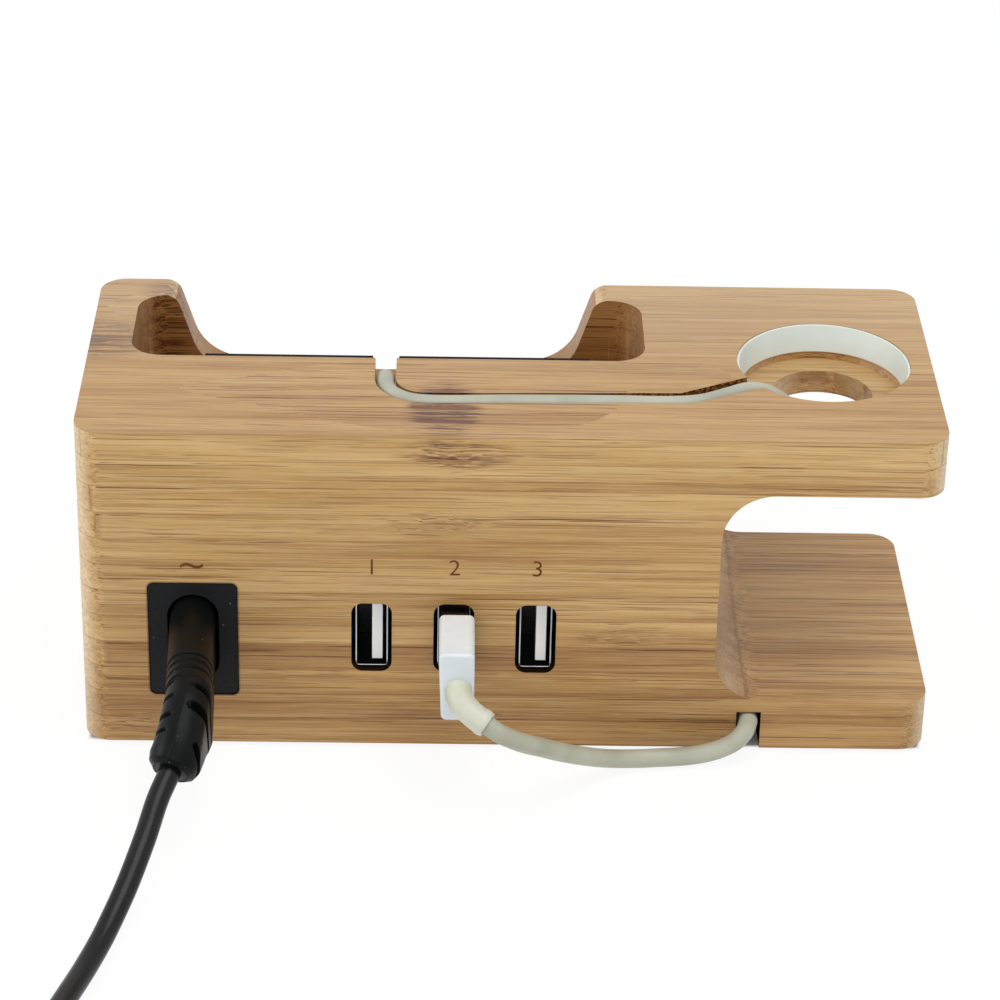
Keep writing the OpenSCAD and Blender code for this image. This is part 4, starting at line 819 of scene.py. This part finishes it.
def sleeve_size(s):
    """Slightly tapered, with a rounded lip before its end."""
    lip = max(0.0, 1 - abs(s - sleeve_length + 0.9) / 0.75)
    r = 2.3 - 0.1 * s / sleeve_length + 0.16 * min(1.0, 1.6 * lip)
    r -= 0.3 if s < 0.3 else 0.0
    return r, r


plug_sleeve = swept("plug_sleeve", sleeve_path, sleeve_size, 32, start=(0, 1, 0), end=[-c for c in plug_way],
                    hollow=(1.78, 0.9))
dress(plug_sleeve, sleeve_pvc)
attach(plug_sleeve, "watch_plug")
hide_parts("watch_plug_sleeve")
print("sleeve:", round(sleeve_length, 1), "mm long")

# %% [markdown]
# ## Cords get their finish and ride
# Each cord now gets its finish. The mains cord rides with the mains lead and the held stretch of the
# watch cord with the stand. The loop of the watch cord runs from the notch in the stand to the plug, and
# is fixed where it lies, on no body.

dress(mains_cord, black_cord)
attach(mains_cord, "mains_lead")
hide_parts("mains_cord_run", "mains_cord_coil")
dress(watch_cord_inside, cream_pvc)
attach(watch_cord_inside, "stand")
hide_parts("watch_cord_held")
dress(watch_cord_loop, cream_pvc)
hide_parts("watch_cord_free")
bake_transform(watch_cord_loop)

# %% [markdown]
# ## What repeats
# Screws, turns of wire and ribs follow a rule, so small node trees make them. A tree takes its sizes as
# named inputs, so that one tree serves several pieces. The result becomes a plain mesh.


# %% Geometry node helpers
def node_tree(name, **sizes):
    """A geometry tree with number inputs: the tree, its group input node and its output node."""
    tree = bpy.data.node_groups.new(name, "GeometryNodeTree")
    tree.interface.new_socket("Geometry", in_out="INPUT", socket_type="NodeSocketGeometry")
    for size, value in sizes.items():
        kind = "NodeSocketInt" if isinstance(value, int) else "NodeSocketFloat"
        tree.interface.new_socket(size, in_out="INPUT", socket_type=kind).default_value = value
    tree.interface.new_socket("Geometry", in_out="OUTPUT", socket_type="NodeSocketGeometry")
    return tree, tree.nodes.new("NodeGroupInput"), tree.nodes.new("NodeGroupOutput")


def joined(tree, *parts):
    """Several geometries as one."""
    made = add(tree, "GeometryNodeJoinGeometry")
    for part in parts:
        tree.links.new(part.outputs[0], made.inputs[0])
    return made


def at_each_point(tree, given, result, shape, material=None, **placing):
    """Puts the shape at each point, makes the copies real and gives them their finish."""
    copies = add(tree, "GeometryNodeInstanceOnPoints", Points=given.outputs["Geometry"],
                 Instance=shape.outputs[0], **placing)
    real = add(tree, "GeometryNodeRealizeInstances", Geometry=copies.outputs[0])
    if material:
        real = add(tree, "GeometryNodeSetMaterial", Geometry=real.outputs[0], Material=material)
    tree.links.new(real.outputs[0], result.inputs[0])


def grown(name, tree, points, **sizes):
    """Runs a tree on loose points, in mm, with some of its inputs set, and returns the plain mesh's object."""
    mesh = bpy.data.meshes.new(name)
    mesh.from_pydata([Vector(p) * MM for p in points], [], [])
    piece = bpy.data.objects.new(name, mesh)
    bpy.context.scene.collection.objects.link(piece)
    modifier = piece.modifiers.new("tree", "NODES")
    modifier.node_group = tree
    sockets = {item.name: item.identifier for item in tree.interface.items_tree if item.in_out == "INPUT"}
    for size, value in sizes.items():
        modifier[sockets[size]] = value
    done = bpy.data.meshes.new_from_object(piece.evaluated_get(bpy.context.evaluated_depsgraph_get()))
    piece.modifiers.clear()
    piece.data = done
    done.shade_smooth()
    done.set_sharp_from_angle(angle=math.radians(30))
    print(f"{name}: {len(done.polygons)} faces, {len(done.materials)} materials")
    return piece


# %% [markdown]
# ### Screws
# Small countersunk or pan-head screws of plated steel with a cross recess. A cone is the head, a cylinder
# the shank, and two thin boxes are cut from the head for the driver.

# %% Screws
screw_tree, given, result = node_tree("screw_at_each_point", Head=2.5, Head_height=1.5, Under=1.3, Shank=1.3,
                                      Length=11.0, Turn=0.0)
in_m = lambda name, share=1.0: calc(screw_tree, "MULTIPLY", given.outputs[name], MM * share)
head = add(screw_tree, "GeometryNodeMeshCone", Vertices=32, Radius_Top=in_m("Under"), Radius_Bottom=in_m("Head"),
           Depth=in_m("Head_height"))
cross = add(screw_tree, "GeometryNodeMeshBoolean", {"operation": "DIFFERENCE"}, Mesh_1=head.outputs[0])
for size in ((2.6 * MM, 0.6 * MM, 1.4 * MM), (0.6 * MM, 2.6 * MM, 1.4 * MM)):
    screw_tree.links.new(add(screw_tree, "GeometryNodeMeshCube", Size=size).outputs[0], cross.inputs["Mesh 2"])
shank_long = calc(screw_tree, "SUBTRACT", in_m("Length"), in_m("Head_height", 0.5))
shank_mid = calc(screw_tree, "ADD", in_m("Length", 0.5), in_m("Head_height", 0.25))
shank = add(screw_tree, "GeometryNodeMeshCylinder", Vertices=24, Radius=in_m("Shank"), Depth=shank_long)
shank = add(screw_tree, "GeometryNodeTransform", Geometry=shank.outputs[0], Translation=add(
    screw_tree, "ShaderNodeCombineXYZ", Z=shank_mid).outputs[0])
turned = add(screw_tree, "GeometryNodeTransform", Geometry=joined(screw_tree, cross, shank).outputs[0],
             Rotation=add(screw_tree, "ShaderNodeCombineXYZ", X=given.outputs["Turn"]).outputs[0])
spin = add(screw_tree, "FunctionNodeRandomValue", {"data_type": "FLOAT_VECTOR"}, _0=(0, 0, -0.7), _1=(0, 0, 0.7),
           Seed=4)
at_each_point(screw_tree, given, result, turned, screw_steel, Rotation=spin.outputs[0])

cover_low, cover_high = (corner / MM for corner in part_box("base_screws"))
cover_screws = grown("cover_screws", screw_tree, [(x, y, cover_low.z) for x in (cover_low.x + 2.5, cover_high.x - 2.5)
                     for y in (cover_low.y + 2.5, cover_high.y - 2.5)])
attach(cover_screws, "stand")
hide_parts("base_screws")
board_low, board_high = (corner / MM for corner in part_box("board_screws"))
fixing_screws = grown("fixing_screws", screw_tree, [(x, (board_low.y + board_high.y) / 2, board_high.z) for x in (
    board_low.x + 2.1, board_high.x - 2.1)], Head=2.1, Head_height=1.4, Under=2.1, Shank=1.1,
    Length=board_high.z - board_low.z, Turn=math.pi)
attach(fixing_screws, "stand")
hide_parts("board_screws")

# %% [markdown]
# ### Turns of wire
# The input choke is a ferrite drum wound with enamelled copper wire. One spiral curve, swept by a small
# circle, is the winding, and two flanges close the drum.

# %% Choke
wire_tree, given, result = node_tree("wound_drum", Turns=13, Radius=2.2, Wire=0.24, Low=0.8, High=7.2)
in_m = lambda name: calc(wire_tree, "MULTIPLY", given.outputs[name], MM)
spiral = add(wire_tree, "GeometryNodeCurveSpiral", Resolution=20, Rotations=given.outputs["Turns"],
             Start_Radius=in_m("Radius"), End_Radius=in_m("Radius"),
             Height=calc(wire_tree, "SUBTRACT", in_m("High"), in_m("Low")))
section = add(wire_tree, "GeometryNodeCurvePrimitiveCircle", Resolution=6, Radius=in_m("Wire"))
wire = add(wire_tree, "GeometryNodeCurveToMesh", Curve=spiral.outputs[0], Profile_Curve=section.outputs[0],
           Fill_Caps=True)
wire = add(wire_tree, "GeometryNodeTransform", Geometry=wire.outputs[0], Translation=add(
    wire_tree, "ShaderNodeCombineXYZ", Z=in_m("Low")).outputs[0])
copper = add(wire_tree, "GeometryNodeSetMaterial", Geometry=wire.outputs[0], Material=copper_wire)
discs = []
for radius, depth, z in ((2.05, 7.8, 4.0), (2.58, 0.6, 0.3), (2.58, 0.6, 7.7)):
    disc = add(wire_tree, "GeometryNodeMeshCylinder", Vertices=32, Radius=radius * MM, Depth=depth * MM)
    discs.append(add(wire_tree, "GeometryNodeTransform", Geometry=disc.outputs[0], Translation=(0, 0, z * MM)))
ferrite = add(wire_tree, "GeometryNodeSetMaterial", Geometry=joined(wire_tree, *discs).outputs[0],
              Material=ferrite_grey)
at_each_point(wire_tree, given, result, joined(wire_tree, copper, ferrite))

choke_low, choke_high = (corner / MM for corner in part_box("input_choke"))
wound_choke = grown("wound_choke", wire_tree, [((choke_low.x + choke_high.x) / 2,
                                               (choke_low.y + choke_high.y) / 2, choke_low.z)])
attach(wound_choke, "stand")
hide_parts("input_choke")

# %% [markdown]
# ### Ribs of the wall plug
# The wall plug's tail has ribs round it, so that it bends evenly, and its sides have short ridges for the
# fingers. One tree puts a ring that grows from point to point, the other a rounded bar.

# %% Ribs
rib_tree, given, result = node_tree("ring_at_each_point", Radius=3.2, Thick=0.42, Grow=0.052)
in_m = lambda name: calc(rib_tree, "MULTIPLY", given.outputs[name], MM)
hoop = add(rib_tree, "GeometryNodeCurvePrimitiveCircle", Resolution=40, Radius=in_m("Radius"))
section = add(rib_tree, "GeometryNodeCurvePrimitiveCircle", Resolution=8, Radius=in_m("Thick"))
hoop = add(rib_tree, "GeometryNodeCurveToMesh", Curve=hoop.outputs[0], Profile_Curve=section.outputs[0])
grow = calc(rib_tree, "MULTIPLY_ADD", add(rib_tree, "GeometryNodeInputIndex").outputs[0], given.outputs["Grow"], 1.0)
at_each_point(rib_tree, given, result, hoop, black_pvc, Rotation=(0, math.radians(90), 0), Scale=add(
    rib_tree, "ShaderNodeCombineXYZ", X=grow, Y=grow, Z=1.0).outputs[0])
tail_ribs = grown("wall_tail_ribs", rib_tree, [(35.5 - 1.9 * k, 181, 7.4) for k in range(7)])
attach(tail_ribs, "mains_lead")

bar_tree, given, result = node_tree("bar_at_each_point", Long=6.4, Thick=0.35)
in_m = lambda name: calc(bar_tree, "MULTIPLY", given.outputs[name], MM)
line = add(bar_tree, "GeometryNodeCurvePrimitiveLine", Start=(0, 0, 0), End=add(
    bar_tree, "ShaderNodeCombineXYZ", Z=in_m("Long")).outputs[0])
section = add(bar_tree, "GeometryNodeCurvePrimitiveCircle", Resolution=10, Radius=in_m("Thick"))
bar = add(bar_tree, "GeometryNodeCurveToMesh", Curve=line.outputs[0], Profile_Curve=section.outputs[0],
          Fill_Caps=True)
at_each_point(bar_tree, given, result, bar, black_pvc)
ridges = grown("wall_plug_ridges", bar_tree, [(15 - 1.8 * k, y, 4.2) for k in range(6) for y in (170.75, 191.25)])
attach(ridges, "mains_lead")

# %% [markdown]
# ## Marks on the ports' face
# Plain numbers stand over the three alike outlets, and a wave over the mains inlet. A laser scorches the
# wood a tenth of a millimetre deep and leaves it matt brown.


# %% Burned numbers
def burned(name, text, x, z, size_mm):
    """Text as a thin flat mesh on the ports' face, read from the ports' side."""
    curve = bpy.data.curves.new(name, "FONT")
    curve.body, curve.size = text, size_mm * MM
    curve.align_x, curve.align_y = "CENTER", "CENTER"
    curve.offset, curve.extrude = -0.00003, 0.00002
    holder = bpy.data.objects.new(name + "_text", curve)
    bpy.context.scene.collection.objects.link(holder)
    mesh = bpy.data.meshes.new_from_object(holder.evaluated_get(bpy.context.evaluated_depsgraph_get()))
    bpy.data.objects.remove(holder)
    turn = Matrix.Rotation(math.radians(180), 4, "Z") @ Matrix.Rotation(math.radians(90), 4, "X")
    mesh.transform(Matrix.Translation(Vector((x, block_high.y + 0.01, z)) * MM) @ turn)
    piece = bpy.data.objects.new(name, mesh)
    bpy.context.scene.collection.objects.link(piece)
    dress(piece, burned_wood)
    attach(piece, "stand")


for k, x in enumerate(PORTS, 1):
    burned(f"mark_{k}", str(k), x, 36.4, 4.4)
burned("mark_mains", "~", plug_x, 36.6, 7.5)
print("marks burned")

# %% [markdown]
# ## Table, light and background
# A product picture of this kind is lit by large soft boxes on a white table. The table keeps a soft shadow,
# and its colour brightens towards white only for the camera and for reflections, so that no extra light
# falls on the wood.


# %% Floor, world and lamps
def soft_box(name, place, target, size, watts):
    data = bpy.data.lights.new(name, "AREA")
    data.shape, data.size, data.size_y, data.energy = "RECTANGLE", size[0] * MM, size[1] * MM, watts
    lamp = bpy.data.objects.new(name, data)
    lamp.location = Vector(place) * MM
    lamp.rotation_euler = (Vector(target) * MM - lamp.location).to_track_quat("-Z", "Y").to_euler()
    bpy.context.scene.collection.objects.link(lamp)


def seen_directly(tree):
    """1 for what the camera, a reflection or a clear surface shows, 0 for light that falls on the object."""
    path = add(tree, "ShaderNodeLightPath")
    shown = calc(tree, "MAXIMUM", path.outputs["Is Camera Ray"], path.outputs["Is Glossy Ray"])
    return calc(tree, "MAXIMUM", shown, path.outputs["Is Transmission Ray"])


shape = bmesh.new()
bmesh.ops.create_grid(shape, x_segments=1, y_segments=1, size=6.0)
table_top = piece_from("table_top", shape)
table_white = bpy.data.materials.new("white_laminate_table")
table_white.use_nodes = True
tree = table_white.node_tree
tree.nodes.remove(tree.nodes["Principled BSDF"])
lit = add(tree, "ShaderNodeBsdfDiffuse", Color=rgb("#FAFAFA"))
glow = add(tree, "ShaderNodeEmission", Color=(1, 1, 1, 1), Strength=1.03)
here_x, here_y, _ = add(tree, "ShaderNodeSeparateXYZ", Vector=add(tree, "ShaderNodeTexCoord").outputs["Object"]).outputs
beside = calc(tree, "MAXIMUM", step(tree, calc(tree, "ABSOLUTE", here_x), 0.0728, 0.0738),
              step(tree, calc(tree, "ABSOLUTE", here_y), 0.028, 0.0292))
share = calc(tree, "MULTIPLY", calc(tree, "MULTIPLY", seen_directly(tree), 0.88), beside)
mixed = add(tree, "ShaderNodeMixShader", Fac=share, _1=lit.outputs[0],
            _2=glow.outputs[0])
tree.links.new(mixed.outputs[0], tree.nodes["Material Output"].inputs["Surface"])
dress(table_top, table_white)

world = bpy.data.worlds.new("studio")
bpy.context.scene.world = world
world.use_nodes = True
tree = world.node_tree
WORLD_LIGHT = 0.46
tree.nodes["Background"].inputs["Color"].default_value = (1, 1, 1, 1)
tree.links.new(calc(tree, "MULTIPLY_ADD", seen_directly(tree), 1 - WORLD_LIGHT, WORLD_LIGHT),
               tree.nodes["Background"].inputs["Strength"])

soft_box("key_overhead", (-150, 250, 900), (0, 0, 30), (700, 600), 3.8)
soft_box("fill_ports_side", (300, 900, 350), (0, 20, 30), (600, 400), 1.15)
soft_box("side_inlet_end", (800, 100, 300), (60, 0, 30), (400, 400), 1.7)
soft_box("rim_behind", (-50, -600, 600), (0, 0, 50), (600, 300), 0.35)
bpy.context.scene.view_settings.view_transform = "Standard"
